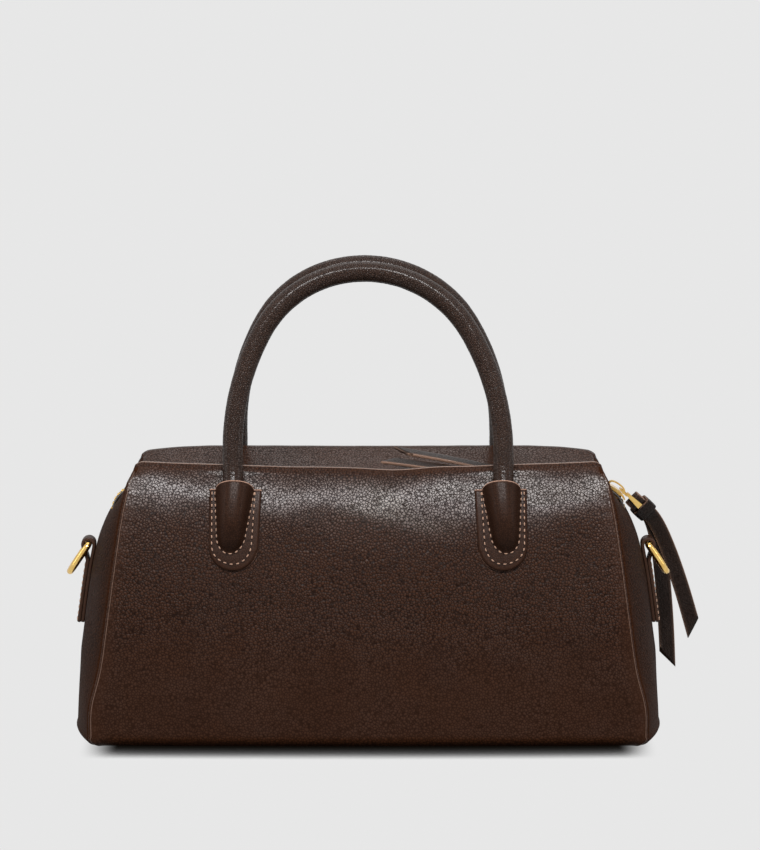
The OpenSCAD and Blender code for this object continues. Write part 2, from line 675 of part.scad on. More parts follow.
// A section swept along the arch, from and to the seam gap above the folds
module sweep_arch(section, end_faces) {
    m = len(section);
    n = len(arch_stations) - 1;
    polyhedron(points = [for (q = arch_stations, w = section)
            [q[0] + w[0] * cos(q[2]), w[1], q[1] + w[0] * sin(q[2])]],
        faces = concat(end_faces,
            [for (f = end_faces) [for (k = [len(f) - 1 : -1 : 0]) n * m + f[k]]],
            [for (k = [0 : n - 1], i = [0 : m - 1]) each let (a = k * m + i, b = k * m + (i + 1) % m)
                [[b, a, a + m], [b, a + m, b + m]]]));
}
module handle_wrap() {
    m = len(wrap_section);
    sweep_arch(wrap_section,
        [for (k = [0 : wrap_sides - 1]) each [[k, k + 1, m - 2 - k], [k, m - 2 - k, m - 1 - k]]]);
    for (side = [-1, 1]) translate([side * handle_half_span, 0, 0]) difference() {
        sphere(r = handle_r, $fn = 48);
        translate([-2 * handle_r, -2 * handle_r, 0]) cube(4 * handle_r);
    }
}
module handle_rope() {
    sweep_arch(core_section, [for (k = [1 : core_sides - 2]) [0, k, k + 1]]);
}
module handle_place() { translate([0, fold_at[1], fold_at[2]]) rotate([-handle_lean, 0, 0]) children(); }

module front_handle() { color(leather_colour) handle_place() handle_wrap(); }
module front_handle_core() { color(core_colour) handle_place() handle_rope(); }
module rear_handle() { to_rear() front_handle(); }
module rear_handle_core() { to_rear() front_handle_core(); }

// Handle tab: a leather patch on the wall with a rounded lower end
patch_columns = 6;
patch_rows = 5;
patch_foot_angle = 25;
function patch_angle(t) = mix(patch_foot_angle, 90, t);
tab_x = handle_half_span - tab_in;
// Share u of the half width w at height z of a patch that narrows by the taper down to its foot
function patch_x(u, w, z, bottom, taper) = let (t = 1 - (z - bottom) / (tab_top - bottom))
    tab_x + u * (w - taper / 2 * t) + taper / 2 * t;
function patch_stations(top, bottom, w) = concat(
    [for (k = [0 : patch_rows]) let (t = k / patch_rows)
        [bottom + w / 2 * (1 - cos(patch_angle(t))), w / 2 * sin(patch_angle(t))]],
    [for (k = [1 : patch_rows]) [mix(bottom + w / 2, top, k / patch_rows), w / 2]]);

module front_right_tab() {
    st = patch_stations(tab_top, tab_bottom, tab_w);
    n = patch_columns;
    color(leather_colour) plate(
        [for (q = st, i = [0 : n])
            wall_place(patch_x(2 * i / n - 1, q[1], q[0], tab_bottom, tab_taper), q[0], seam_gap + tab_t)],
        [for (q = st, i = [0 : n])
            wall_place(patch_x(2 * i / n - 1, q[1], q[0], tab_bottom, tab_taper), q[0], seam_gap)],
        n + 1, len(st));
}
module front_left_tab() { to_left() front_right_tab(); }
module rear_right_tab() { to_rear() front_right_tab(); }
module rear_left_tab() { to_rear() front_left_tab(); }

// Sleeve: a raised leather overlay drawn over the handle root
sleeve_wall = 1.5;
sleeve_columns = 10;
sleeve_foot_t = 1.4;
sleeve_fall_power = 2;
sleeve_side_power = 0.6;
sleeve_rise = root_off + root_r + sleeve_wall;
function sleeve_height(z, u) = let (t = (tab_top - z) / (tab_top - sleeve_bottom))
    mix(sleeve_foot_t, sleeve_rise - tab_t,
        cos(90 * pow(t, sleeve_fall_power)) * pow(1 - u * u, sleeve_side_power));
module front_right_sleeve() {
    st = patch_stations(tab_top, sleeve_bottom, sleeve_w);
    n = sleeve_columns;
    foot = tab_t + 2 * seam_gap;
    color(leather_colour) difference() {
        plate([for (q = st, i = [0 : n]) let (u = 2 * i / n - 1)
                wall_place(patch_x(u, q[1], q[0], sleeve_bottom, sleeve_taper), q[0],
                    foot + sleeve_height(q[0], u))],
            [for (q = st, i = [0 : n])
                wall_place(patch_x(2 * i / n - 1, q[1], q[0], sleeve_bottom, sleeve_taper), q[0], foot)],
            n + 1, len(st));
        root_shape(root_r + seam_gap);
    }
}
module front_left_sleeve() { to_left() front_right_sleeve(); }
module rear_right_sleeve() { to_rear() front_right_sleeve(); }
module rear_left_sleeve() { to_rear() front_left_sleeve(); }

// Ring tab: a leather strip folded over the bar of the ring and sewn down the gusset
loop_in = ring_wire_r + 2 * run_gap;
loop_out = loop_in + ply_t;
ring_x = seam_len(ring_height) + bulge(ring_height) + loop_out + seam_gap;
tab_steps = 6;
tab_join_share = 0.2;
function ring_tab_x(z, o) = seam_len(z) + bulge(z) + seam_gap + o;
module right_ring_tab() {
    join = mix(ring_height, ring_tab_bottom, tab_join_share);
    color(leather_colour) translate([0, ring_tab_w / 2, 0]) rotate([90, 0, 0]) {
        difference() {
            translate([ring_x, ring_height, 0]) cylinder(h = ring_tab_w, r = loop_out, $fn = 48);
            translate([ring_x, ring_height, -overrun])
                cylinder(h = ring_tab_w + 2 * overrun, r = loop_in, $fn = 48);
        }
        linear_extrude(ring_tab_w) polygon(concat(
            [[ring_x - loop_out, ring_height], [ring_x - loop_in, ring_height]],
            [for (k = [0 : tab_steps]) let (z = mix(join, ring_tab_bottom, k / tab_steps))
                [ring_tab_x(z, ply_t), z]],
            [for (k = [tab_steps : -1 : 0]) let (z = mix(join, ring_tab_bottom, k / tab_steps))
                [ring_tab_x(z, 0), z]]));
        linear_extrude(ring_tab_w) polygon(concat(
            [[ring_x + loop_in, ring_height], [ring_x + loop_out, ring_height]],
            [for (k = [0 : tab_steps]) let (z = mix(join, ring_tab_bottom, k / tab_steps))
                [ring_tab_x(z, 2 * ply_t + seam_gap), z]],
            [for (k = [tab_steps : -1 : 0]) let (z = mix(join, ring_tab_bottom, k / tab_steps))
                [ring_tab_x(z, ply_t + seam_gap), z]]));
    }
}
module left_ring_tab() { to_left() right_ring_tab(); }

// D-shaped ring: a straight bar in the loop, two short sides and a round end
module right_ring() {
    color(metal_colour) translate([ring_x, 0, ring_height]) rotate([0, half_turn - ring_lean, 0]) rotate(90) {
        translate([-ring_half_bar, 0, 0]) rotate([0, 90, 0])
            cylinder(h = 2 * ring_half_bar, r = ring_wire_r, $fn = 32);
        for (side = [-1, 1]) translate([side * ring_half_bar, 0, 0]) {
            sphere(r = ring_wire_r, $fn = 32);
            cylinder(h = ring_side, r = ring_wire_r, $fn = 32);
        }
        translate([0, 0, ring_side]) arc_tube(ring_half_bar, 0, 180, ring_wire_r);
    }
}
module left_ring() { to_left() right_ring(); }

front_panel();
rear_panel();
left_gusset();
right_gusset();
base_panel();
base_board();
base_lining();
front_lining();
rear_lining();
left_lining();
right_lining();
front_zip_tape();
rear_zip_tape();
front_zip_teeth();
rear_zip_teeth();
left_zip_stop();
right_zip_stop();
top_slider();
top_pull_link();
top_pull_strap();
top_pull_band();
end_slider();
end_pull_link();
end_pull_strap();
end_pull_band();
front_handle();
front_handle_core();
rear_handle();
rear_handle_core();
front_left_root();
front_right_root();
rear_left_root();
rear_right_root();
front_left_tab();
front_right_tab();
rear_left_tab();
rear_right_tab();
front_left_sleeve();
front_right_sleeve();
rear_left_sleeve();
rear_right_sleeve();
left_ring_tab();
right_ring_tab();
left_ring();
right_ring();
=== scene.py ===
import math
import bmesh
import bpy
import numpy as np
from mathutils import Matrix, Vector


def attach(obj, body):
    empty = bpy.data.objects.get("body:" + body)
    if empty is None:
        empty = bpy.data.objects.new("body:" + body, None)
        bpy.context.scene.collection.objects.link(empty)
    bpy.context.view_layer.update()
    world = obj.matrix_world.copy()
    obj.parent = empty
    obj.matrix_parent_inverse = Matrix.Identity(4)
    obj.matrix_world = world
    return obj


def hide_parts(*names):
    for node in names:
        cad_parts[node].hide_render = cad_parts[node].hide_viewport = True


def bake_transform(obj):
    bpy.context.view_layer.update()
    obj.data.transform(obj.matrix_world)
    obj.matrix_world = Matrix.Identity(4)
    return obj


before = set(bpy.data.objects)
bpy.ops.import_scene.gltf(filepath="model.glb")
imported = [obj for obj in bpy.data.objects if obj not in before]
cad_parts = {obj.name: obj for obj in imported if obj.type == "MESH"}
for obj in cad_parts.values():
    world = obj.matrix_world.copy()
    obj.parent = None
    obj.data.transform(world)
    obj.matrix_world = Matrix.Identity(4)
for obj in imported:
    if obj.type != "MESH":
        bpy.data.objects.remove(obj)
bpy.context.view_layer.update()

mm = 0.001  # all shapes below are worked out in millimetres

# Long lens, a little above the bag, in millimetres
cameraView = {"target": (6.0, -70.0, 163.8), "distance": 2600.0, "elevation": 6.5, "heightSeen": 425.0}


def makeCamera(spec):
    data = bpy.data.cameras.new("camera")
    data.sensor_width = 36.0
    data.lens = data.sensor_width * spec["distance"] / spec["heightSeen"]
    data.clip_end = 100.0
    camera = bpy.data.objects.new("camera", data)
    bpy.context.scene.collection.objects.link(camera)
    tilt = math.radians(spec["elevation"])
    x, y, z = spec["target"]
    d = spec["distance"]
    camera.location = (x * mm, (y - d * math.cos(tilt)) * mm, (z + d * math.sin(tilt)) * mm)
    camera.rotation_euler = (math.pi / 2 - tilt, 0.0, 0.0)
    bpy.context.scene.camera = camera


makeCamera(cameraView)
bpy.context.scene.view_settings.view_transform = "Standard"
print("camera set")


# Shader maths: a wrapped socket that adds Math nodes for its operators
def operator(name, swapped=False):
    def apply(self, other):
        pair = (other, self) if swapped else (self, other)
        return self.maths(name, *pair)
    return apply


class Sock:
    __add__ = __radd__ = operator("ADD")
    __mul__ = __rmul__ = operator("MULTIPLY")
    __sub__ = operator("SUBTRACT")
    __rsub__ = operator("SUBTRACT", swapped=True)
    __pow__ = operator("POWER")

    def __init__(self, tree, socket):
        self.tree, self.socket = tree, socket

    def make(self, kind, settings={}, sockets={}, out=0):
        node = self.tree.nodes.new(kind)
        for key, value in settings.items():
            setattr(node, key, value)
        for key, value in sockets.items():
            if isinstance(value, Sock):
                self.tree.links.new(value.socket, node.inputs[key])
            else:
                node.inputs[key].default_value = value
        return Sock(self.tree, node.outputs[out])

    def maths(self, operation, a, b=0.0):
        return self.make("ShaderNodeMath", {"operation": operation}, {0: a, 1: b})

    def sine(self):
        return self.maths("SINE", self)

    def size(self):
        return self.maths("ABSOLUTE", self)

    def between(self, low, high, first=0.0, last=1.0):  # smooth step from low to high
        return self.make("ShaderNodeMapRange", {"interpolation_type": "SMOOTHSTEP"},
                         {0: self, 1: low, 2: high, 3: first, 4: last})

    def mixed(self, a, b):  # colour a where this is 0, colour b where it is 1
        return self.make("ShaderNodeMix", {"data_type": "RGBA"}, {0: self, 6: a, 7: b}, out=2)

    def moved(self, offset):
        return self.make("ShaderNodeVectorMath", {"operation": "ADD"}, {0: self, 1: offset})

    def scaled(self, x, y, z):
        return self.make("ShaderNodeVectorMath", {"operation": "MULTIPLY"}, {0: self, 1: (x, y, z)})

    def split(self, axis):
        return self.make("ShaderNodeSeparateXYZ", {}, {0: self}, out=axis)

    def noise(self, scale, detail=2.0, out=0):
        return self.make("ShaderNodeTexNoise", {}, {"Vector": self, "Scale": scale, "Detail": detail}, out)

    def cells(self, scale, feature="F1"):
        return self.make("ShaderNodeTexVoronoi", {"feature": feature}, {"Vector": self, "Scale": scale})

    def value(self, name):
        return self.make("ShaderNodeAttribute", {"attribute_name": name}, {}, out=2)

    def bump(self, distance, strength=1.0, normal=None):
        sockets = {"Height": self, "Distance": distance * mm, "Strength": strength}
        if normal:
            sockets["Normal"] = normal
        return self.make("ShaderNodeBump", {}, sockets)


def newFinish(name, fixed):
    finish = bpy.data.materials.new(name)
    finish.use_nodes = True
    tree = finish.node_tree
    shader = tree.nodes["Principled BSDF"]
    for key, value in fixed.items():
        shader.inputs[key].default_value = value
    start = Sock(tree, None)
    place = start.make("ShaderNodeAttribute", {"attribute_name": "restPlace"}, {}, out=1)
    return finish, start, place, shader


def feed(start, shader, links):
    for key, value in links.items():
        start.tree.links.new(value.socket, shader.inputs[key])


def rgb(r, g, b):
    return (r, g, b, 1.0)


# Grained leather: pebble size and relief in millimetres, noise scales in cells a millimetre
# valleyShade is a near-black painted shade laid into the grain's grooves
bodyLook = {"name": "bodyLeather", "light": rgb(0.043, 0.0152, 0.0062), "dark": rgb(0.029, 0.0098, 0.0038),
            # On the body the edge colour paints light lines on the ridge crest and beside the seams: painted
            # highlights
            "valleyShade": rgb(0.005, 0.002, 0.0012), "edge": rgb(0.34, 0.23, 0.18), "pebble": 1.4,
            "relief": 0.42, "wrinkle": 0.03, "shine": 0.26, "coat": 0.30, "specular": 0.06}
sideLook = dict(bodyLook, name="sideLeather", shine=0.55, coat=0.0, specular=0.03, relief=0.4)
trimLook = dict(bodyLook, name="trimLeather", light=rgb(0.038, 0.0155, 0.0080),
                dark=rgb(0.026, 0.0100, 0.0050), edge=rgb(0.34, 0.20, 0.145), pebble=0.9,
                relief=0.16, coat=0.08, shine=0.34, specular=0.07)
handleLook = dict(bodyLook, name="handleLeather", light=rgb(0.040, 0.0185, 0.0107),
                  dark=rgb(0.026, 0.0115, 0.0064), pebble=1.0, relief=0.6, wrinkle=0.06,
                  coat=0.35, specular=0.12)
pullLook = dict(bodyLook, name="pullLeather", light=rgb(0.020, 0.0085, 0.0045),
                dark=rgb(0.011, 0.0048, 0.0027), valleyShade=rgb(0.004, 0.0020, 0.0012),
                edge=rgb(0.20, 0.12, 0.085), pebble=1.0, relief=0.36, specular=0.09)
# Painted shade: the needle holes are small dark discs that stand for the shade inside them
holeShadeLook = dict(bodyLook, name="needleHoleShade", light=rgb(0.006, 0.004, 0.003), dark=rgb(0.003, 0.002, 0.002))
grain = {"drift": 0.9, "driftReach": 0.3, "domePower": 1.4, "grooveWide": 0.24, "pore": 2.6, "soft": 0.05,
         "slow": 0.16, "tone": 0.03, "slowHigh": 8.0, "coatRoughness": 0.2}


def leatherFinish(look):
    finish, start, place, shader = newFinish(look["name"], {
        "Coat Roughness": grain["coatRoughness"], "Specular IOR Level": look["specular"]})
    drift = place.noise(grain["drift"], 1.0, out=1)
    warped = place.moved(drift.scaled(*[grain["driftReach"]] * 3))
    dome = 1.0 - warped.cells(1.0 / look["pebble"]) ** grain["domePower"]
    groove = warped.cells(1.0 / look["pebble"], "DISTANCE_TO_EDGE").between(0.0, grain["grooveWide"])
    pore = place.noise(grain["pore"], 3.0)
    polish = start.value("polish")
    soft = place.noise(grain["soft"], 3.0)
    rough = (1.0 - 0.85 * polish) * (0.75 + 0.25 * soft.between(0.35, 0.65))
    height = (0.8 * dome + 0.3 * groove) * rough + 0.08 * pore
    slow = place.noise(grain["slow"], 3.0)
    normal = height.bump(look["relief"], 0.9)
    normal = slow.bump(look["wrinkle"] * grain["slowHigh"], 0.35, normal)
    tone = place.noise(grain["tone"], 2.0).between(0.2, 0.8) * 0.4 + pore * 0.6
    colour = tone.mixed(look["dark"], look["light"])
    # Painted shade: the grain's grooves are darkened towards near black, less where polished; the same mask
    # also makes the grooves rougher
    paintedLightAndEdge = (1.0 - groove) * (0.9 - 0.5 * polish)
    colour = paintedLightAndEdge.mixed(colour, look["valleyShade"])
    # The edge mark lays the edge colour: real cut edges on trims, and painted highlight lines on the panels'
    # crest and seams
    colour = start.value("edge").mixed(colour, look["edge"])
    shine = look["shine"] + 0.06 * slow + 0.14 * polish + 0.10 * paintedLightAndEdge
    coat = look["coat"] * groove * (0.6 + 0.4 * soft.between(0.3, 0.7))
    feed(start, shader, {"Base Color": colour, "Roughness": shine, "Normal": normal, "Coat Weight": coat})
    return finish


def goldFinish(look):
    finish, start, place, shader = newFinish(look["name"], {"Metallic": 1.0})
    stain = place.noise(0.35, 4.0)
    scratch = place.scaled(0.6, 0.6, 6.0).noise(1.3, 3.0)
    colour = stain.between(0.35, 0.7).mixed(look["bright"], look["deep"])
    shine = look["shine"] + 0.10 * stain.between(0.3, 0.7)
    feed(start, shader, {"Base Color": colour, "Roughness": shine, "Normal": scratch.bump(0.003, 0.3)})
    return finish


def wovenFinish(look):
    finish, start, place, shader = newFinish(look["name"], {
        "Sheen Weight": look["sheen"], "Sheen Roughness": 0.5})
    step = 2.0 * math.pi / look["thread"]
    along = (place.split(0) * step).sine()
    across = ((place.split(1) + place.split(2)) * step).sine()
    weave = along * across * 0.5 + 0.5
    fuzz = place.noise(6.0, 3.0)
    colour = (weave * 0.7 + fuzz * 0.3).mixed(look["dark"], look["light"])
    feed(start, shader, {"Base Color": colour, "Roughness": 0.72 + 0.2 * fuzz,
                         "Normal": (weave + 0.4 * fuzz).bump(look["relief"], 0.8)})
    return finish


bodyLeather, sideLeather, trimLeather, handleLeather, pullLeather, needleHoleShade = (
    leatherFinish(look) for look in (bodyLook, sideLook, trimLook, handleLook, pullLook, holeShadeLook))
goldMetal = goldFinish({"name": "goldMetal", "bright": rgb(0.86, 0.59, 0.20),
                        "deep": rgb(0.72, 0.44, 0.12), "shine": 0.16})
# Woven and pressed stuffs: name, light and dark colour, thread width in millimetres, relief, sheen
wovenLooks = (
    ("liningCloth", rgb(0.30, 0.23, 0.16), rgb(0.18, 0.13, 0.09), 0.9, 0.12, 0.2),
    ("tapeWeave", rgb(0.035, 0.022, 0.016), rgb(0.010, 0.006, 0.004), 0.8, 0.2, 0.15),
    ("tanThread", rgb(0.52, 0.32, 0.22), rgb(0.26, 0.14, 0.09), 0.5, 0.06, 0.1),
    ("ropeFibre", rgb(0.60, 0.52, 0.38), rgb(0.38, 0.31, 0.21), 0.7, 0.2, 0.3),
    ("pressedBoard", rgb(0.33, 0.26, 0.17), rgb(0.20, 0.15, 0.10), 2.4, 0.05, 0.0))
wovenKeys = ("name", "light", "dark", "thread", "relief", "sheen")
liningCloth, tapeWeave, tanThread, ropeFibre, pressedBoard = (
    wovenFinish(dict(zip(wovenKeys, look))) for look in wovenLooks)
print("finishes made")


# Mesh helpers: everything is placed in millimetres and kept in metres
def unit(v):
    v = np.asarray(v, float)
    return v / np.linalg.norm(v, axis=-1, keepdims=True)


def smoothStep(x, low, high):
    t = np.clip((x - low) / (high - low), 0.0, 1.0)
    return t * t * (3.0 - 2.0 * t)


def mix(a, b, t):
    return a + (b - a) * t


def curve(a, towards, b, t):  # from a to b, drawn towards a third point
    t = np.asarray(t)[:, None]
    return (1 - t) ** 2 * np.asarray(a) + 2 * t * (1 - t) * np.asarray(towards) + t * t * np.asarray(b)


def hump(x, middle, width):  # a soft bell of height one
    return np.exp(-((x - middle) / width) ** 2)


def ripples(x, y, seed, reach):  # soft unevenness made of a few waves
    rng = np.random.default_rng(seed)
    total = np.zeros_like(np.asarray(x, float))
    for _ in range(7):
        angle, phase = rng.uniform(0, 2 * math.pi, 2)
        step = 2 * math.pi / (reach * rng.uniform(0.6, 1.8))
        total = total + np.sin((x * math.cos(angle) + y * math.sin(angle)) * step + phase)
    return total / 4.0


def addPiece(name, body, slot, finish, points, faces, marks={}, faceMarks={}, stands=()):
    points = np.asarray(points, float)
    mesh = bpy.data.meshes.new(name)
    mesh.from_pydata((points * mm).tolist(), [], [tuple(int(k) for k in f) for f in faces])
    mesh.validate()
    mesh.shade_smooth()
    rest = mesh.attributes.new("restPlace", "FLOAT_VECTOR", "POINT")
    rest.data.foreach_set("vector", points.astype(np.float32).ravel())
    for domain, layers in (("POINT", marks), ("FACE", faceMarks)):
        for key, values in layers.items():
            layer = mesh.attributes.new(key, "FLOAT", domain)
            layer.data.foreach_set("value", np.asarray(values, np.float32).ravel())
    mesh.materials.append(finish)
    piece = bpy.data.objects.new(name, mesh)
    bpy.context.scene.collection.objects.link(piece)
    if body:
        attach(piece, body)
    if stands:
        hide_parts(*stands)
    return piece


def gridNormals(grid, centre):
    across = np.gradient(grid, axis=1)
    up = np.gradient(grid, axis=0)
    normals = np.cross(across, up)
    normals = normals / np.maximum(np.linalg.norm(normals, axis=-1, keepdims=True), 1e-9)
    if np.mean(np.sum(normals * (grid - np.asarray(centre, float)), axis=-1)) < 0:
        normals = -normals
    return normals


def facesFor(sign, faces):  # a mirrored piece has its faces the other way round
    return faces if sign > 0 else [f[::-1] for f in faces]


def ringFaces(rings, count, closed=False):  # quads between rings of count points
    pairs = [(k * count, (k + 1) % rings * count) for k in range(rings if closed else rings - 1)]
    return [(a + i, a + (i + 1) % count, b + (i + 1) % count, b + i) for a, b in pairs for i in range(count)]


# A sheet with two sides, closed round its rim and round the cells that are skipped
def shellFaces(rows, columns, skip=None, flip=False):
    size = rows * columns
    faces, used = [], {}
    for j in range(rows - 1):
        for i in range(columns - 1):
            if skip is not None and skip[j, i]:
                continue
            a = j * columns + i
            ring = (a, a + 1, a + columns + 1, a + columns)
            faces.append(ring[::-1] if flip else ring)
            for p, q in zip(faces[-1], faces[-1][1:] + faces[-1][:1]):
                if (q, p) in used:
                    del used[(q, p)]
                else:
                    used[(p, q)] = True
    outer = len(faces)
    faces += [tuple(size + k for k in f[::-1]) for f in faces]
    faces += [(q, p, size + p, size + q) for p, q in used]
    return faces, outer


def addShell(name, body, slot, finish, outer, inner, centre, skip=None, polish=None, edge=0.0, paintedLightAndEdge=None,
             stands=()):
    rows, columns = outer.shape[:2]
    way = np.cross(np.gradient(outer, axis=1), np.gradient(outer, axis=0))
    flip = np.mean(np.sum(way * (outer - np.asarray(centre, float)), axis=-1)) < 0
    faces, count = shellFaces(rows, columns, skip, flip)
    points = np.concatenate([outer.reshape(-1, 3), inner.reshape(-1, 3)])
    used = np.unique(np.concatenate([np.array(f) for f in faces]))
    number = np.full(len(points), -1)
    number[used] = np.arange(len(used))
    marks = {}
    if polish is not None:
        marks["polish"] = np.tile(polish.ravel(), 2)[used]
    rim = np.zeros(len(faces))
    rim[2 * count:] = edge
    # The outer faces take the given lines in the edge colour: painted highlights on the panels, the cut edge
    # on the tabs
    if paintedLightAndEdge is not None:
        first = np.array([min(f) for f in faces[:count]])
        rim[:count] = paintedLightAndEdge[first // columns, first % columns]
    return addPiece(name, body, slot, finish, points[used], [number[list(f)] for f in faces],
                    marks, {"edge": rim}, stands)


def frames(path, side):
    ahead = unit(np.gradient(path, axis=0))
    side = np.asarray(side, float) * np.ones_like(path)
    side = unit(side - np.sum(side * ahead, axis=1, keepdims=True) * ahead)
    return ahead, side, np.cross(ahead, side)


def sweep(path, side, sections):
    ahead, side, up = frames(path, side)
    count = sections.shape[1]
    points = path[:, None] + sections[..., :1] * side[:, None] + sections[..., 1:2] * up[:, None]
    if sections.shape[2] > 2:
        points = points + sections[..., 2:3] * ahead[:, None]
    last = (len(path) - 1) * count
    caps = [tuple(range(count))[::-1], tuple(last + k for k in range(count))]
    return points.reshape(-1, 3), ringFaces(len(path), count) + caps


def runAlong(path):
    return np.concatenate([[0], np.cumsum(np.linalg.norm(np.diff(path, axis=0), axis=1))])


def resample(path, step):
    path = np.asarray(path, float)
    run = runAlong(path)
    places = np.linspace(0, run[-1], max(2, int(round(run[-1] / step)) + 1))
    return np.stack([np.interp(places, run, path[:, k]) for k in range(3)], axis=1)


def softened(path, times):
    for _ in range(times):
        path = np.concatenate([path[:1], (path[:-2] + 2 * path[1:-1] + path[2:]) / 4, path[-1:]])
    return path


def joined(parts):
    points, faces, start = [], [], 0
    for p, f in parts:
        points.append(p)
        faces += [tuple(k + start for k in ring) for ring in f]
        start += len(p)
    return np.concatenate(points), faces


# Shape of the body: the driving sizes of the part's source
bag = {"baseLen": 281.5, "baseDepth": 140.0, "ridgeHeight": 140.5, "ridgeLen": 234.0, "ridgeGap": 76.0,
       "mouthDrop": 14.0, "mouthGap": 14.0, "baseRadius": 5.0, "foldRadius": 5.0, "faceCrown": 3.0,
       "ridgeSag": 1.0, "gussetBulge": 12.5, "leather": 2.2, "cornerIn": 2.0, "wallPower": 3.3,
       "seamPower": 12, "seamStraight": 0.78, "bulgeFoot": 0.72, "bulgeFrom": 0.3, "bulgeTo": 0.9,
       "bulgePower": 9, "domePower": 2.4}
# Soft changes to it: heights, drops and reaches that only the leather has
give = {"flare": 2.5, "flareAt": 19, "flareWide": 14, "liftFrom": 95, "liftTo": 141, "liftWide": 36,
        "fall": 1.7, "fallLong": 4.0, "fallFrom": 132, "calmFrom": 118, "calmTo": 133,
        "ridgeMiddle": -0.35, "ridgeRise": 1.85, "ridgeDip": 1.2, "dipAt": 15, "dipWide": 14,
        "rearMiddle": 1.3, "rearDrop": 3.2}
halfBase = bag["baseLen"] / 2
halfDepth = bag["baseDepth"] / 2 - bag["faceCrown"]
halfMouth = bag["mouthGap"] / 2
halfLong = 140.0  # half length that the spacing of the columns is made for
bodyMiddle = (0, 0, 70)
ridge = bag["ridgeHeight"]
crest = ridge + bag["foldRadius"] / 4
wallTop = crest - bag["foldRadius"]
mouthHeight = ridge - bag["mouthDrop"]
panelThick = bag["leather"] - 0.1


def wallDepth(z):  # half depth of the body at height z
    share = np.power(np.maximum(z, 0) / ridge, bag["wallPower"])
    return halfDepth - (halfDepth - bag["ridgeGap"] / 2) * share


def flare(z):  # the seams run out a little above the base
    return give["flare"] * hump(z, give["flareAt"], give["flareWide"])


def seamLen(z):  # half length of a panel at height z
    z = np.maximum(z, 0)
    share = mix(np.power(z / ridge, bag["seamPower"]), z / ridge, bag["seamStraight"])
    return halfBase - (halfBase - bag["ridgeLen"] / 2) * share + flare(z)


def bulge(z):  # how far a gusset stands out at its middle
    share = np.maximum(z, 0) / ridge
    swell = mix(bag["bulgeFoot"], 1, np.minimum(1, share / bag["bulgeFrom"]))
    return bag["gussetBulge"] * swell * np.maximum(0, 1 - (share / bag["bulgeTo"]) ** bag["bulgePower"])


wallSlope = (wallDepth(wallTop - bag["foldRadius"]) - wallDepth(wallTop)) / bag["foldRadius"]
foldFrom = np.array([wallDepth(wallTop), wallTop])
foldOver = np.array([foldFrom[0] - bag["foldRadius"] * wallSlope, crest])
lipSlope = (crest - mouthHeight) / (foldOver[0] - halfMouth)
foldTo = foldOver - bag["foldRadius"] * np.array([1.0, lipSlope])


# Rows of a panel from the base over the ridge to the mouth: depth, height, half length
def panelRows(arc, wall, fold, lip):
    turn = np.linspace(0, math.pi / 2, arc, endpoint=False)
    r = bag["baseRadius"]
    z = np.linspace(r, wallTop, wall)
    t = np.linspace(0, 1, fold + 1)[1:]
    arch = curve(foldFrom, foldOver, foldTo, t)
    down = mix(foldTo, np.array([halfMouth, mouthHeight]), np.linspace(0, 1, lip + 1)[1:, None])
    shorter = seamLen(wallTop) - bag["cornerIn"] * t
    return np.concatenate([
        np.stack([halfDepth - r * (1 - np.sin(turn)), r * (1 - np.cos(turn)),
                  halfBase - r * (1 - np.sin(turn)) + flare(r * (1 - np.cos(turn)))], 1),
        np.stack([wallDepth(z), z, seamLen(z)], 1), np.column_stack([arch, shorter]),
        np.column_stack([down, np.full(lip, shorter[-1])])])


def facePoint(rows, s, top):
    depth, z, reach = rows[:, 0:1], rows[:, 1:2], rows[:, 2:3]
    over = np.arange(len(rows))[:, None] > top
    c = 1 - s[None, :] ** 2
    inward = depth - halfMouth
    crown = bag["faceCrown"] * np.where(over, inward / (foldFrom[0] - halfMouth), 1)
    sag = np.where(over, np.minimum(1, inward / (foldTo[0] - halfMouth)), (z / wallTop) ** 3)
    sag = bag["ridgeSag"] * sag
    return np.stack([s[None, :] * reach, -depth - crown * c, z - sag * c * c], axis=-1)


def wallPlace(x, z, o):  # the place over the front wall at height o
    x, z, o = np.broadcast_arrays(np.asarray(x, float), np.asarray(z, float), np.asarray(o, float))
    c = 1 - (x / seamLen(z)) ** 2
    step = bag["baseRadius"] / 2
    slope = wallDepth(z + step) - wallDepth(z - step)
    size = np.hypot(slope, 2 * step)
    return np.stack([x, -wallDepth(z) - bag["faceCrown"] * c - o * 2 * step / size,
                     z - bag["ridgeSag"] * (z / wallTop) ** 3 * c * c - o * slope / size], axis=-1)


# Front and rear panel: rolled ends, a crisp ridge and soft waves
panelShape = {"arc": 9, "wall": 64, "fold": 12, "lip": 16, "step": 2.6, "roll": 1.1, "bead": 0.3,
              "waves": 0.38, "tabHollow": 0.5, "crestRow": 5, "crestHighlight": 0.6, "seamHighlight": 0.3,
              "endRows": (0, 0.12, 0.3, 0.55, 0.85, 1.15, 1.5, 1.9, 2.4, 3.1, 4.1, 5.5), "endLong": 7.5,
              "fine": 0.10, "tuck": 0.22, "crest": 0.35, "lipThin": 0.9, "tabX": (67, 18), "tabZ": (112, 26),
              "shineTop": (136, 140), "shineSide": (2, 9), "shineFoot": (20, 78), "shineLip": (35, 45)}


def ridgeChange(s, front):  # how a ridge's height wanders from end to end
    if front:
        dip = hump(s * bag["ridgeLen"] / 2, give["dipAt"], give["dipWide"])
        return give["ridgeMiddle"] + give["ridgeRise"] * s ** 2 - give["ridgeDip"] * dip
    return give["rearMiddle"] - give["rearDrop"] * np.abs(s) ** 6


def lifted(z):
    return smoothStep(z, give["liftFrom"], give["liftTo"])


def ridgeLift(y, z):  # the change at the ends of both ridges, for the gussets
    change = np.where(y < 0, ridgeChange(1.0, True), ridgeChange(1.0, False))
    return (change * lifted(z) - cornerFall(0.0, z)) * smoothStep(np.abs(y), halfMouth, give["liftWide"])


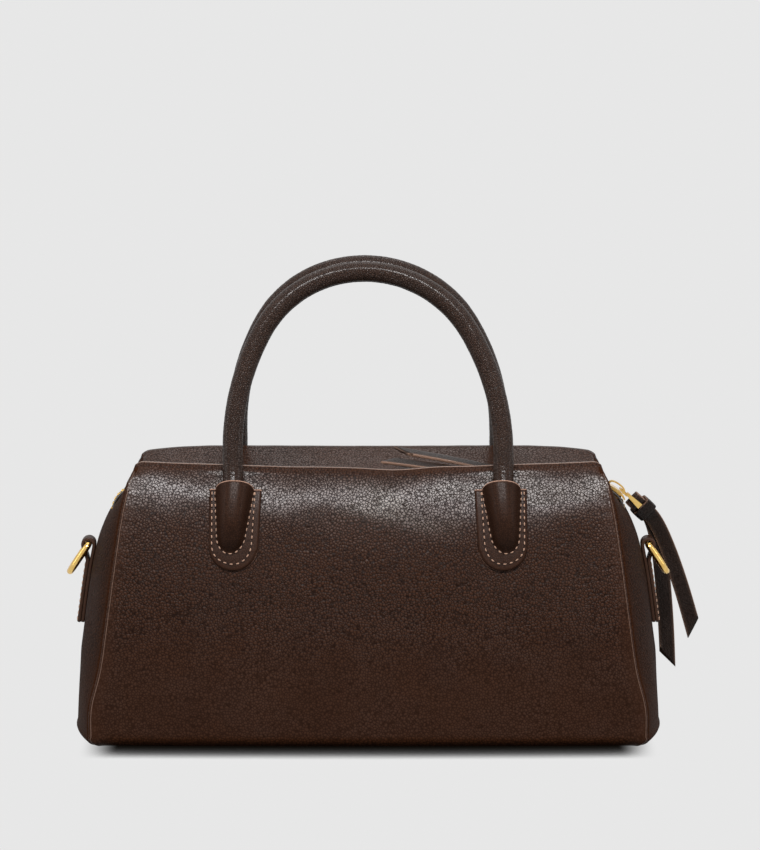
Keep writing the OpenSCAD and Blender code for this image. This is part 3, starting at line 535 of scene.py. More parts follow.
def cornerFall(side, z):  # the ridges are rounded down at their ends
    near = np.clip(1 - side / give["fallLong"], 0, 1)
    return give["fall"] * near ** 2 * smoothStep(z, give["fallFrom"], give["liftTo"])


def cornerCalm(z):  # the seams grow flat near the ridge
    return 1 - smoothStep(z, give["calmFrom"], give["calmTo"])


def seamDrop(d, radius):  # how far a rolled edge falls at distance d from its seam
    near = np.clip(1 - d / radius, 0, 1)
    return -radius * (1 - np.sqrt(1 - near ** 2))


def panelGrid(spec, front):
    rows = panelRows(spec["arc"], spec["wall"], spec["fold"], spec["lip"])
    top = spec["arc"] + spec["wall"] - 1
    ends = np.array(spec["endRows"]) / halfLong
    middle = 1 - spec["endLong"] / halfLong
    inside = np.linspace(-middle, middle, int((2 * halfLong - 15) / spec["step"]))
    s = np.concatenate([-1 + ends, inside, (1 - ends)[::-1]])
    grid = facePoint(rows, s, top)
    normals = gridNormals(grid, bodyMiddle)
    x, z = grid[..., 0], grid[..., 2].copy()
    number = np.arange(len(rows))[:, None]
    side = (1 - np.abs(s))[None, :] * rows[:, 2:3]
    inMouth = smoothStep(rows[:, 0:1], halfMouth, give["liftWide"])
    lift = lifted(rows[:, 1:2]) * np.where(number > top + spec["fold"], inMouth, 1.0)
    fall = cornerFall(side, z) * np.where(lift < 1, lift, 1.0)
    grid[..., 2] += ridgeChange(s, front)[None, :] * lift - fall
    z = grid[..., 2]
    calm = smoothStep(z, 6, 30) * smoothStep(side, 2, 22) * (1 - 0.6 * smoothStep(z, 120, 136))
    waves = ripples(x, z * 1.5, 5 if front else 9, 62) * spec["waves"] * calm
    fine = ripples(x, z, 21 if front else 27, 19) * spec["fine"]
    waves += fine * smoothStep(side, 3, 20) * smoothStep(z, 4, 30)
    nearTab = hump(np.abs(x), *spec["tabX"]) * hump(z, *spec["tabZ"]) * (number <= top)
    edge = (seamDrop(side, spec["roll"]) + spec["bead"] * hump(side, 2.1, 0.9)) * cornerCalm(z)
    tuck = np.sin(z * 0.9 + 1.2 * np.sin(z * 0.21)) * np.exp(-side / 5.0) * smoothStep(side, 0.5, 2.0)
    crestLine = hump(number, top + 0.45 * spec["fold"], 1.1)
    lip = smoothStep(-rows[:, 0:1], -halfMouth - 1.2, -halfMouth)
    offset = waves + edge - spec["tabHollow"] * nearTab + spec["tuck"] * tuck
    offset = offset + spec["crest"] * crestLine - spec["lipThin"] * lip
    return grid + normals * offset[..., None], normals, side, z, top


endSides = (("right", 1), ("left", -1))
longSides = (("front", 1), ("rear", -1))


def mirrored(grid, x=1, y=1):
    return grid * np.array([x, y, 1.0])


def addPanels(spec):
    for word, y in longSides:
        grid, normals, side, z, top = panelGrid(spec, y > 0)
        grid, normals = (mirrored(g, y=y) for g in (grid, normals))
        # Painted highlights: light lines in the edge colour along the ridge crest and along the rolled edges
        # beside the seams
        paintedLightAndEdge = np.zeros(side.shape)
        paintedLightAndEdge[top + spec["crestRow"]] = spec["crestHighlight"]
        seams = np.abs(side - spec["roll"]) < 0.12
        paintedLightAndEdge[:top] = np.maximum(paintedLightAndEdge[:top], (spec["seamHighlight"] * seams)[:top])
        inner = grid - normals * panelThick
        polish = smoothStep(z, *spec["shineTop"]) + 0.5 * (1 - smoothStep(side, *spec["shineSide"]))
        polish = np.clip(polish + 0.55 * (1 - smoothStep(z, *spec["shineFoot"])), 0, 1)
        polish[top + 2:] = 0.15 + 0.4 * hump(grid[top + 2:, :, 0], *spec["shineLip"])
        addShell(word + "PanelLeather", "bag", "body_leather", bodyLeather, grid, inner, bodyMiddle,
                 polish=polish, paintedLightAndEdge=paintedLightAndEdge, stands=[word + "_panel"])


addPanels(panelShape)
print("panels made")

# Gussets: a domed end that follows the ridges and dips to the zip
gussetShape = {"arc": 9, "wall": 60, "fold": 9, "lip": 14, "middle": 8, "roll": 1.9, "bead": 0.1,
               "waves": 0.3, "tuck": 0.12, "slotHalf": 7.0, "slotFoot": 104.2, "slotCut": 108.4,
               "slotThin": 0.7, "edgeColumns": (0.06, 0.14, 0.26, 0.42, 0.6, 0.8), "edgeLong": 5.0,
               "shineTop": (122, 134), "shineSide": (2, 9), "shineFoot": (12, 62)}


# Columns run from the front seam to the rear one, with a stretch between for the zip's slot
def gussetGrid(spec):
    rows = panelRows(spec["arc"], spec["wall"], spec["fold"], spec["lip"])
    top = spec["arc"] + spec["wall"] - 1
    edge = rows[top:]
    u = edge[:, 0] / edge[0, 0]
    low = halfMouth / edge[0, 0]
    extra = 1 - np.array(spec["edgeColumns"]) * spec["edgeLong"] / halfDepth
    columns = np.sort(np.concatenate([u, extra]))[::-1]
    tops, topLen = (np.interp(-columns, -u, edge[:, k]) for k in (1, 2))
    share = (columns - low) / (1 - low)
    middle = np.linspace(1, -1, spec["middle"] + 1)[1:-1]
    none, n = np.zeros(len(columns)), len(middle)
    y = np.concatenate([-share, np.zeros(n), share[::-1]])
    inSlot = np.concatenate([none > 1, np.full(n, True), none > 1])
    across = np.concatenate([none, -middle, none])
    tops, topLen = (np.concatenate([t, np.full(n, t[-1]), t[::-1]]) for t in (tops, topLen))
    depth, z, reach = (rows[:top + 1, k:k + 1] for k in range(3))
    half = spec["slotHalf"]
    sign = np.where(y < 0, -1.0, 1.0)
    sign[:len(columns)] = -1.0
    yy = np.where(inSlot, across * half, sign * (half + np.abs(y) * (depth - half)))
    w = np.abs(yy) / depth
    dip = (tops - wallTop) * (z / wallTop) ** 8
    x = reach + (bulge(z) - flare(z)) * (1 - np.minimum(w, 1) ** bag["domePower"])
    x = mix(x, topLen[None, :], smoothStep(z, wallTop - 9, wallTop))
    grid = np.stack([x, yy, z + dip], axis=-1)
    grid[..., 2] += ridgeLift(yy, grid[..., 2])
    return grid, rows, top, inSlot, tops


def addGussets(spec):
    grid, rows, top, inSlot, tops = gussetGrid(spec)
    normals = gridNormals(grid, bodyMiddle)
    y, z = grid[..., 1], grid[..., 2]
    side = np.maximum(rows[:top + 1, 0:1] - np.abs(y), 0) * 1.1
    near = np.minimum(side, np.maximum(tops - z, 0) + 0.05)
    slotSide = np.abs(y) - spec["slotHalf"]
    calm = smoothStep(near, 2, 20) * smoothStep(z, 6, 30) * smoothStep(slotSide, 0, 12)
    edge = (seamDrop(near, spec["roll"]) + spec["bead"] * hump(near, 2.8, 1.2)) * cornerCalm(z)
    tuck = spec["tuck"] * np.sin(z * 0.75 + np.sin(z * 0.17))
    edge += tuck * np.exp(-near / 6.0) * smoothStep(near, 0.5, 2.5)
    atSlot = smoothStep(z, spec["slotFoot"] - 3, spec["slotFoot"] + 1)
    edge -= spec["slotThin"] * (1 - smoothStep(slotSide, 0, 1.2)) * atSlot
    skip = (rows[:top, 1] > spec["slotCut"])[:, None] & (inSlot[:-1] | inSlot[1:])
    polish = 0.6 * (1 - smoothStep(near, *spec["shineSide"])) + smoothStep(z, *spec["shineTop"])
    polish = polish + 0.5 * (1 - smoothStep(z, *spec["shineFoot"]))
    for word, x in endSides:
        offset = ripples(y, z * 1.3, 33 if x > 0 else 35, 50) * spec["waves"] * calm + edge
        outer = mirrored(grid + normals * offset[..., None], x=x)
        inner = outer - mirrored(normals, x=x) * panelThick
        addShell(word + "GussetLeather", "bag", "body_leather", sideLeather, outer, inner, bodyMiddle,
                 skip=skip, polish=np.clip(polish, 0, 1), stands=[word + "_gusset"])


addGussets(gussetShape)
print("gussets made")

# Base and the linings; the base board stays as a CAD part further down
baseShape = {"thick": 2.2, "roll": 1.6, "gap": 0.6, "ground": 0.15, "liningAt": 5.4}
liningShape = {"arc": 9, "wall": 40, "fold": 8, "lip": 8, "under": 2.75, "thick": 0.4,
               "tapeHalf": 16, "tapeFoot": 96}


def addBase(spec):
    xx, yy = np.meshgrid(np.linspace(-1, 1, 61), np.linspace(-1, 1, 41))
    depth = halfDepth - bag["baseRadius"] - spec["gap"]
    reach = halfBase - bag["baseRadius"] - spec["gap"]
    out = bulge(0.0) * (1 - np.abs(yy) ** bag["domePower"])
    near = np.minimum((1 - np.abs(xx)) * reach, (1 - np.abs(yy)) * depth)
    rise = spec["ground"] - seamDrop(near, spec["roll"])
    grid = np.stack([xx * (reach + out), yy * (depth + bag["faceCrown"] * (1 - xx ** 2)), rise], axis=-1)
    level = grid * (1, 1, 0)
    addShell("baseLeather", "bag", "body_leather", bodyLeather, grid, level + (0, 0, spec["thick"]),
             bodyMiddle, polish=np.full(xx.shape, 0.5), stands=["base_panel"])
    rise = spec["liningAt"] + 0.15 * ripples(xx * halfLong, yy * 65, 3, 40)
    cloth = level * 0.99 + rise[..., None] * (0, 0, 1)
    addShell("baseLiningCloth", "bag", "lining_cloth", liningCloth, cloth, cloth + (0, 0, 0.45),
             bodyMiddle, stands=["base_lining"])


def addLining(word, grid, normals, folds, skip=None):
    outer = grid - normals * (liningShape["under"] + folds[..., None])
    inner = outer - normals * liningShape["thick"]
    addShell(word + "LiningCloth", "bag", "lining_cloth", liningCloth, outer, inner, bodyMiddle,
             skip=skip, stands=[word + "_lining"])


def addLinings(spec):
    for word, y in longSides:
        grid, normals = panelGrid(dict(panelShape, **spec), y > 0)[:2]
        cut = (slice(spec["arc"] + 1, -3), slice(8, -8))
        grid, normals = (mirrored(g[cut], y=y) for g in (grid, normals))
        addLining(word, grid, normals, 0.35 * np.abs(ripples(grid[..., 0], grid[..., 2] * 0.3, 41, 25)))
    full, _, top, _, _ = gussetGrid(dict(gussetShape, wall=36))
    cut = (slice(gussetShape["arc"] + 1, top - 8), slice(9, -9))
    for word, x in endSides:
        grid, normals = (mirrored(g[cut], x=x) for g in (full, gridNormals(full, bodyMiddle)))
        y, z = grid[:-1, :-1, 1], grid[:-1, :-1, 2]
        atTape = (np.abs(y) < spec["tapeHalf"]) & (z > spec["tapeFoot"])
        folds = 0.3 * np.abs(ripples(grid[..., 1], grid[..., 2] * 0.3, 47, 22))
        addLining(word, grid, normals, folds, skip=atTape)


addBase(baseShape)
addLinings(liningShape)
print("base and linings made")

# Zip: woven tapes beside two rows of teeth, level along the mouth and bent down at the ends
zipShape = {"drop": 2.8, "bendRadius": 12.0, "bendOut": 2.0, "turn": 84.0, "endDrop": 33.5,
            "slotHalf": 0.6, "toothWide": 2.4, "toothLong": 1.4, "toothHigh": 2.4, "pitch": 2.8,
            "tapeFrom": 3.2, "tapeThick": 0.8, "wideTo": 13.8, "narrowTo": 6.7, "wideEnd": 114.4,
            "cord": 0.35, "toothRound": 0.24, "headLow": 0.78, "stagger": 0.25}
zipZ = mouthHeight - zipShape["drop"]
bendX = bag["ridgeLen"] / 2 + zipShape["bendOut"]
bendZ = zipZ - zipShape["bendRadius"]
bendLen = zipShape["bendRadius"] * math.radians(zipShape["turn"])
bendEnd = bendZ + zipShape["bendRadius"] * math.cos(math.radians(zipShape["turn"]))
halfZip = bendX + bendLen + (bendEnd - ridge + zipShape["endDrop"]) / math.sin(math.radians(zipShape["turn"]))


def zipPlace(s, rise=0.0):  # middle line of the zip at length s from its middle, and its turn
    t = np.abs(s)
    turn = np.clip((t - bendX) / zipShape["bendRadius"], 0, math.radians(zipShape["turn"]))
    run = np.maximum(0, t - bendX - bendLen)
    r = zipShape["bendRadius"]
    x = np.where(t < bendX, t, bendX + r * np.sin(turn) + run * np.cos(turn))
    z = np.where(t < bendX, zipZ, bendZ + r * np.cos(turn) - run * np.sin(turn))
    return np.sign(s) * (x + rise * np.sin(turn)), z + rise * np.cos(turn), turn


def addTapes(spec):
    end = halfZip + spec["pitch"]
    s = np.unique(np.concatenate([np.linspace(-end, end, 260), [-spec["wideEnd"], spec["wideEnd"]]]))
    far = np.where(np.abs(s) > spec["wideEnd"], spec["narrowTo"], spec["wideTo"])[:, None]
    t = np.concatenate([[0.0, 0.04], np.linspace(0.1, 0.9, 12), [0.96, 1.0]])
    y = mix(spec["tapeFrom"], far, t)
    cord = spec["cord"] * hump(y, spec["tapeFrom"] + 0.6, 0.4)
    flatness = np.minimum(1, np.sqrt(np.minimum(t, 1 - t) * 8 + 0.1)) * (spec["tapeThick"] / 2 - 0.05)
    for word, sign in (("front", -1), ("rear", 1)):
        sides = []
        for rise in (flatness + cord, -flatness + 0 * cord):
            x, z, _ = zipPlace(s[:, None], rise)
            sides.append(np.stack([x, sign * y, z], axis=-1))
        addShell(word + "ZipTape", "bag", "zip_tape", tapeWeave, *sides, (0, 0, 0),
                 stands=[word + "_zip_tape"])


def toothMesh(spec):  # one tooth with a rounded head, its clamp towards +y
    made = bmesh.new()
    bmesh.ops.create_cube(made, size=1.0)
    for v in made.verts:
        high = spec["toothHigh"] * (spec["headLow"] if v.co.y < 0 else 1.0)
        v.co = (v.co.x * spec["toothLong"], v.co.y * spec["toothWide"], v.co.z * high)
    bmesh.ops.bevel(made, geom=list(made.verts) + list(made.edges), offset=spec["toothRound"], segments=2,
                    affect="EDGES")
    made.verts.index_update()
    points = np.array([v.co[:] for v in made.verts])
    faces = [tuple(v.index for v in f.verts) for f in made.faces]
    made.free()
    nib = np.abs(points[:, 1] + spec["toothWide"] / 2) < 0.5
    points[nib & (np.abs(points[:, 2]) < 0.6), 1] -= 0.05
    return points, faces


def addTeeth(spec):
    points, faces = toothMesh(spec)
    count = int((halfZip - spec["pitch"]) / spec["pitch"])
    for word, sign, shift in (("front", -1, spec["stagger"]), ("rear", 1, -spec["stagger"])):
        s = (np.arange(-count, count + 1) + shift) * spec["pitch"]
        y = sign * (points[:, 1] + spec["slotHalf"] + spec["toothWide"] / 2)
        parts = []
        for x, z, turn in zip(*zipPlace(s)[:2], zipPlace(s)[2] * np.where(s > 0, 1, -1)):
            c, k = math.cos(turn), math.sin(turn)
            tooth = (x + points[:, 0] * c + points[:, 2] * k, y, z - points[:, 0] * k + points[:, 2] * c)
            parts.append((np.stack(tooth, axis=1), facesFor(sign, faces)))
        addPiece(word + "ZipTeeth", "bag", "gold_metal", goldMetal, *joined(parts),
                 stands=[word + "_zip_teeth"])


addTapes(zipShape)
addTeeth(zipShape)
print("zip made")

# Stitches: short threads laid along a path, sunk at both ends into needle holes shown as dark discs of
# painted shade
threadShape = {"places": (-0.5, -0.42, -0.25, 0, 0.25, 0.42, 0.5),
               "rise": (-0.7, -0.05, 0.22, 0.3, 0.22, -0.05, -0.7),
               "size": (0.45, 0.85, 1, 1.02, 1, 0.85, 0.45), "sides": 8, "flat": 0.85, "holeWide": 1.6,
               "holeFrom": -0.3, "holeTo": 0.17}


def threadParts(path, normals, spec):
    shape = {key: np.array(value) for key, value in threadShape.items()}
    run = runAlong(path)
    count = int(run[-1] / spec["pitch"])
    turn = np.linspace(0, 2 * math.pi, threadShape["sides"], endpoint=False)
    ring = np.stack([np.cos(turn), shape["flat"] * np.sin(turn)], axis=1) * spec["radius"]
    parts, holeShades = [], []
    for k in range(count):
        s = (k + 0.5) * run[-1] / count + shape["places"] * spec["long"]
        line, up = (np.stack([np.interp(s, run, q[:, i]) for i in range(3)], axis=1) for q in (path, normals))
        sink = shape["rise"] * spec["radius"] * 1.4
        line = line + up * sink[:, None]
        parts.append(sweep(line, up[3], shape["size"][:, None, None] * ring))
        for end in (0, -1):
            # Each thread end gets a dark disc of painted shade for its needle hole
            surface = line[end] - up[end] * sink[end]
            hole = np.stack([surface + up[end] * shape["holeFrom"], surface + up[end] * shape["holeTo"]])
            rings = np.array([1.0, 0.9])[:, None, None] * ring * shape["holeWide"]
            holeShades.append(sweep(hole, unit(line[3] - line[end]), rings))
    return parts, holeShades


def addStitches(name, body, slot, finish, paths, spec):
    parts, holeShades = [], []
    for path, normals in paths:
        p, h = threadParts(path, normals, spec)
        parts += p
        holeShades += h
    addPiece(name, body, slot, finish, *joined(parts))
    addPiece(name + "HoleShades", body, slot, needleHoleShade, *joined(holeShades))


# Handle tabs: a sewn patch with a rolled rim that rises over the handle root
tabShape = {"top": 128.5, "length": 39.5, "width": 26.5, "taper": 2.4, "middle": 66.9, "thick": 1.7,
            "sleeveMiddle": 67.3, "sleeveOut": 2.4, "sleeveWidth": 19.5, "sleeveLength": 30.5,
            "sleeveTaper": 7.8, "sleeveRound": 8.0, "rise": 12.0, "rim": 1.2, "leather": 1.45,
            "sharp": 2.6, "full": 0.6, "outerInset": 1.4, "innerInset": 3.3, "edgeTurn": 0.35,
            "seamOff": 0.35, "seamFoot": 0.6, "seamTop": 0.8, "inside": (60, 0, 90)}
tabThread = {"pitch": 3.2, "long": 1.6, "radius": 0.36}


def tabOutline(spec, z):  # middle and half width of the patch at height z
    bottom = spec["top"] - spec["length"]
    t = (spec["top"] - z) / spec["length"]
    half = spec["width"] / 2 - spec["taper"] / 2 * t
    radius = half
    low = np.clip((bottom + radius - z) / radius, 0, 1)
    return spec["middle"] + spec["taper"] / 2 * t, half * np.sqrt(np.maximum(0, 1 - low ** 2.2))


def sleeveOutline(spec, z):  # middle and half width of the raised sleeve at height z
    t = np.clip((spec["top"] - z) / spec["sleeveLength"], 0, 1)
    low = np.clip((spec["sleeveRound"] - spec["sleeveLength"] * (1 - t)) / spec["sleeveRound"], 0, 1)
    half = (spec["sleeveWidth"] - spec["sleeveTaper"] * t) / 2 * np.sqrt(np.maximum(0, 1 - low ** 2.2))
    return spec["sleeveMiddle"] + spec["sleeveOut"] * t, half


def tabHeight(spec, x, z):  # height of the leather over the wall
    t = (spec["top"] - z) / spec["sleeveLength"]
    fall = np.where(t < 1, np.cos(math.pi / 2 * np.clip(t, 0, 1) ** 2.1), 0.0)
    centre, half = sleeveOutline(spec, z)
    q = np.minimum(np.abs(x - centre) / np.maximum(half, 0.05), 1)
    return spec["thick"] + spec["rise"] * fall * (1 - q ** spec["sharp"]) ** spec["full"]


def tabGrid(spec, seed):
    bottom = spec["top"] - spec["length"]
    v = np.concatenate([[0.0, 0.004, 0.012, 0.024, 0.04], np.linspace(0.06, 0.985, 57), [0.989, 1.0]])
    z = bottom + spec["length"] * v
    a = np.linspace(-1, 1, 61)
    u = np.sign(a) * (1 - (1 - np.abs(a)) ** 1.35)
    centre, half = (q[:, None] for q in tabOutline(spec, z))
    x = centre + u * np.maximum(half, 0.4)
    zz = np.broadcast_to(z[:, None], x.shape)
    slopeSide = half - np.abs(x - centre)
    down = np.maximum(bottom + spec["width"] / 2 - 1.2 - zz, 0)
    foot = (spec["width"] - spec["taper"]) / 2 - np.hypot(x - centre[0], down)
    near = np.maximum(np.where(zz < bottom + 10, np.minimum(slopeSide, foot), slopeSide), 0)
    high = tabHeight(spec, x, zz) + seamDrop(near, spec["rim"]) * 0.95
    wrinkle = np.sin(zz * 3.6 + 2.2 * ripples(x, zz, seed, 9)) * smoothStep(high, 4, 11) * hump(zz, 115, 9)
    high = high + 0.045 * wrinkle + 0.08 * ripples(x, zz, seed + 3, 11) * smoothStep(near, 1.5, 4)
    high = high - spec["edgeTurn"] * smoothStep(zz, spec["top"] - 0.7, spec["top"])
    return x, zz, high, near


def wallNormal(x, z):
    return unit(wallPlace(x, z, 1.0) - wallPlace(x, z, 0.0))


def seamPath(spec, foot, outline):  # down one side of an outline, round its foot and up the other
    start = spec["seamTop"]
    z = spec["top"] - start - (foot - start) * np.sin(np.linspace(0, math.pi / 2, 50))
    centre, half = outline(z)
    line = np.concatenate([np.stack([centre + half, z], 1), np.stack([centre - half, z], 1)[::-1]])
    x, z, _ = resample(np.column_stack([line, np.zeros(len(line))]), 0.5).T
    return wallPlace(x, z, tabHeight(spec, x, z)), wallNormal(x, z)


def tabSeams(spec):
    sleeveFoot = spec["sleeveLength"] + spec["seamFoot"]

    def beside(z):
        centre, half = sleeveOutline(dict(spec, sleeveLength=sleeveFoot), z)
        return centre, half + spec["seamOff"]

    def around(z):
        length, inset = spec["length"] - spec["innerInset"], spec["outerInset"] + spec["innerInset"]
        centre, half = tabOutline(dict(spec, width=spec["width"] - inset, length=length), z)
        return centre + (spec["innerInset"] - spec["outerInset"]) / 2 * smoothStep(half, 2, 9), half

    return [seamPath(spec, sleeveFoot, beside),
            seamPath(spec, spec["length"] - spec["innerInset"], around)]


def addTabs(spec):
    x, z, high, near = tabGrid(spec, 61)
    place = wallPlace(x, z, high)
    inside = np.array(spec["inside"])
    inner = place - gridNormals(place, inside) * spec["leather"]
    away = wallNormal(x, z)
    depth = np.sum((inner - wallPlace(x, z, -0.6)) * away, axis=-1)
    inner = inner + away * np.maximum(0, -depth)[..., None]
    paintedLightAndEdge = np.zeros(x.shape)
    paintedLightAndEdge[-2] = 1  # the cut edge over the handle
    seams = tabSeams(spec)
    for word, y in longSides:
        for end, sx in endSides:
            flat = (sx, y, 1)
            node = word + "_" + end
            name = word + end.capitalize()
            addShell(name + "Tab", "bag", "trim_leather", trimLeather, place * flat, inner * flat,
                     inside * flat, polish=0.35 + 0.4 * (near < 2), edge=1.0, paintedLightAndEdge=paintedLightAndEdge,
                     stands=[node + "_tab", node + "_sleeve"])
            addStitches(name + "Stitches", "bag", "trim_leather", tanThread,
                        [(p * flat, n * flat) for p, n in seams], tabThread)


addTabs(tabShape)
print("tabs made")

# Handles: rolled leather round a rope, from inside the tabs over the fold into the arch
handleShape = {"halfSpan": 68.3, "rise": 102.8, "leg": 11.0, "crownRadius": 60.0, "radius": 5.1, "core": 3.5,
               "lean": 17.0, "rootOff": 7.2, "foldRise": 7.5, "reach": 10.0, "shift": -2.0,
               "step": 0.8, "pleatsAt": 19.5, "pleatsWide": 6.5, "ropeFrom": 28}


def handlePath(spec):
    x = spec["halfSpan"]
    foot = wallPlace(x, mix(tabShape["top"], tabShape["top"] - 30, 0.4), spec["rootOff"])
    mouth = wallPlace(x, tabShape["top"], spec["rootOff"])
    way = unit(mouth - foot)
    fold = mouth + spec["foldRise"] * way
    up = spec["rise"] - spec["leg"]
    crown = spec["crownRadius"]
    sideRadius = (x ** 2 + up ** 2 - 2 * up * crown) / (2 * (x - crown))
    join = math.atan2(up - crown, sideRadius - x)
    a = np.linspace(0, join, 30)
    side = np.stack([x - sideRadius + sideRadius * np.cos(a), spec["leg"] + sideRadius * np.sin(a)], 1)
    a = np.linspace(join, math.pi / 2, 30)
    top = np.stack([crown * np.cos(a), spec["leg"] + up - crown + crown * np.sin(a)], 1)
    across, high = np.concatenate([[[x, 3.0]], side, top[1:]]).T
    lean = math.radians(spec["lean"])
    arch = np.stack([across, fold[1] + high * math.sin(lean), fold[2] + high * math.cos(lean)], 1)
    right = np.concatenate([[foot, mouth, fold - 3.0 * way], arch])
    path = np.concatenate([right, mirrored(right[:-1], x=-1)[::-1]])
    path = softened(resample(path, spec["step"]), 12)
    high = np.clip((path[:, 2] - fold[2]) / 98, 0, 1)
    path[:, 0] += spec["shift"] * high ** 1.5
    return path, fold, way


def addHandles(spec):
    path, fold, way = handlePath(spec)
    lean = math.radians(spec["lean"])
    face = np.array([0, -math.cos(lean), math.sin(lean)])
    n = len(path)
    run = np.arange(n) * spec["step"]
    aa, rr = np.meshgrid(np.linspace(0, 2 * math.pi, 40, endpoint=False), run)
    _, side, up = frames(path, face)
    inward = math.atan2(-up[n // 4, 0], -side[n // 4, 0])
    off = np.angle(np.exp(1j * (aa - inward)))  # angle from the seam on the inner side
    waves = 0.05 * ripples(aa * 5.1, rr, 71, 9) + 0.03 * np.sin(rr * 2.6 + 2 * ripples(aa * 5, rr, 73, 12))
    nearFold = hump(np.minimum(run, run[-1] - run), spec["pleatsAt"], spec["pleatsWide"])[:, None]
    pleats = 0.10 * np.sin(rr * 2.4 + np.sin(aa * 2)) * nearFold
    seam = 0.16 * hump(np.abs(off), 0.26, 0.13) - 0.55 * hump(off, 0, 0.07)
    radius = spec["radius"] * (1 - 0.02 * nearFold) + waves + pleats + seam
    circle = np.stack([np.cos(aa), np.sin(aa)], axis=-1)
    points, faces = sweep(path, face, radius[..., None] * circle)
    strands = spec["core"] - 0.45 + 0.42 * np.abs(np.cos(1.5 * (aa - rr * 0.42)))
    inside = slice(spec["ropeFrom"], n - spec["ropeFrom"])
    ropePoints, ropeFaces = sweep(path[inside], face, (strands[..., None] * circle)[inside])
    polish = 0.1 + 0.5 * hump(off, 0, 0.5)
    for word, y in longSides:
        body = word + "_handle_swing"
        flat = (1, y, 1)
        piece = addPiece(word + "HandleLeather", None, "trim_leather", handleLeather, points * flat,
                         facesFor(y, faces), {"polish": polish},
                         stands=[word + "_handle", word + "_left_root", word + "_right_root"])
        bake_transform(piece)
        addPiece(word + "HandleRope", body, "rope_core", ropeFibre, ropePoints * flat, ropeFaces,
                 stands=[word + "_handle_core"])


addHandles(handleShape)
print("handles made")

# Zip pulls: a folded leather strip with a keeper band and two slanted tails
pullShape = {"link": 9.2, "barRadius": 0.9, "gap": 0.2, "wide": 8.2, "thick": 1.6, "bandFrom": 13.4,
             "bandLong": 7.5, "bandWall": 1.2, "bandPower": 0.32, "bandSides": 48, "longTail": 83.0,
             "shortTail": 72.5, "lead": 0.2, "cut": 9.0, "bow": 0.36, "wave": 0.35, "neck": 2.1}
# Each pull: its bar, how it hangs, and how far its two tails reach as shares of their length
topPull = {"bar": (107.8, 0.0, 126.9), "rise": 6.0, "turn": 0.0, "shift": 0.0, "way": 0.0, "back": True,
           "long": (0.927, 0.048, 0.016), "short": (0.98, -0.124, 0.058), "twist": (-15.0, -11.0)}
endPull = {"bar": (129.714, 0.0, 122.704), "rise": 44.0, "turn": 90.0, "shift": 0.7, "way": 34.0,
           "back": False, "long": (0.761, -0.591, 0.256), "short": (0.873, -0.389, 0.236),
           "twist": (0.0, 0.0)}
# Rows of the band: place along it, how far its outside falls in, and how light its leather is
bandRows = ((0.0, 0.45, 0.55), (0.08, 0.2, 0.35), (0.3, 0.05, 0), (0.6, 0, 0), (1.5, 0, 0), (3.0, -0.06, 0),
            (4.5, -0.06, 0), (6.0, 0, 0), (6.9, 0, 0), (7.2, 0.05, 0), (7.42, 0.2, 0.35), (7.5, 0.45, 0.55))


def turned(points, axis, degrees):
    a = math.radians(degrees)
    c, s = math.cos(a), math.sin(a)
    matrix = {"x": [[1, 0, 0], [0, c, -s], [0, s, c]], "y": [[c, 0, s], [0, 1, 0], [-s, 0, c]],
              "z": [[c, -s, 0], [s, c, 0], [0, 0, 1]]}[axis]
    return np.asarray(points) @ np.array(matrix).T


def pullPlace(points, pull):
    p = np.asarray(points) - (pullShape["link"], 0, 0)
    p = turned(p, "y", pull["way"]) + (pullShape["link"], pull["shift"], 0)
    p = turned(p, "x", pull["turn"])
    p = turned(turned(p, "y", -pull["rise"]), "z", 180) if pull["back"] else turned(p, "y", pull["rise"])
    return p + pull["bar"]


# Sections of a flat strip with soft corners and a slant end, and how far each point is on a cut edge
def stripSections(spec, count, cutEnd):
    half, t, r = spec["wide"] / 2, spec["thick"] / 2, 0.5
    corner = np.linspace(0, math.pi / 2, 4)
    ring = []
    for quarter, (sx, sy) in enumerate(((1, 1), (-1, 1), (-1, -1), (1, -1))):
        a = corner + quarter * math.pi / 2
        ring += [(sx * (half - r) + r * math.cos(k), sy * (t - r) + r * math.sin(k)) for k in a]
        if sx * sy > 0:
            ring += [(e * sy, sy * t) for e in np.linspace(half - r, r - half, 7)[1:-1]]
    ring = np.array(ring)
    edge = np.clip((np.abs(ring[:, 0]) - half + 0.55) / 0.3, 0, 1)
    sections = np.zeros((count, len(ring), 3))
    sections[..., :2] = ring
    sections[..., 1] += 0.12 * (1 - (ring[:, 0] / half) ** 2) * np.sign(ring[:, 1])
    sections[-1, :, 1] *= 0.85
    sections[-2:, :, 2] = cutEnd * np.array([[0.97], [1.0]]) * ring[:, 0] / (2 * half)
    return sections, edge


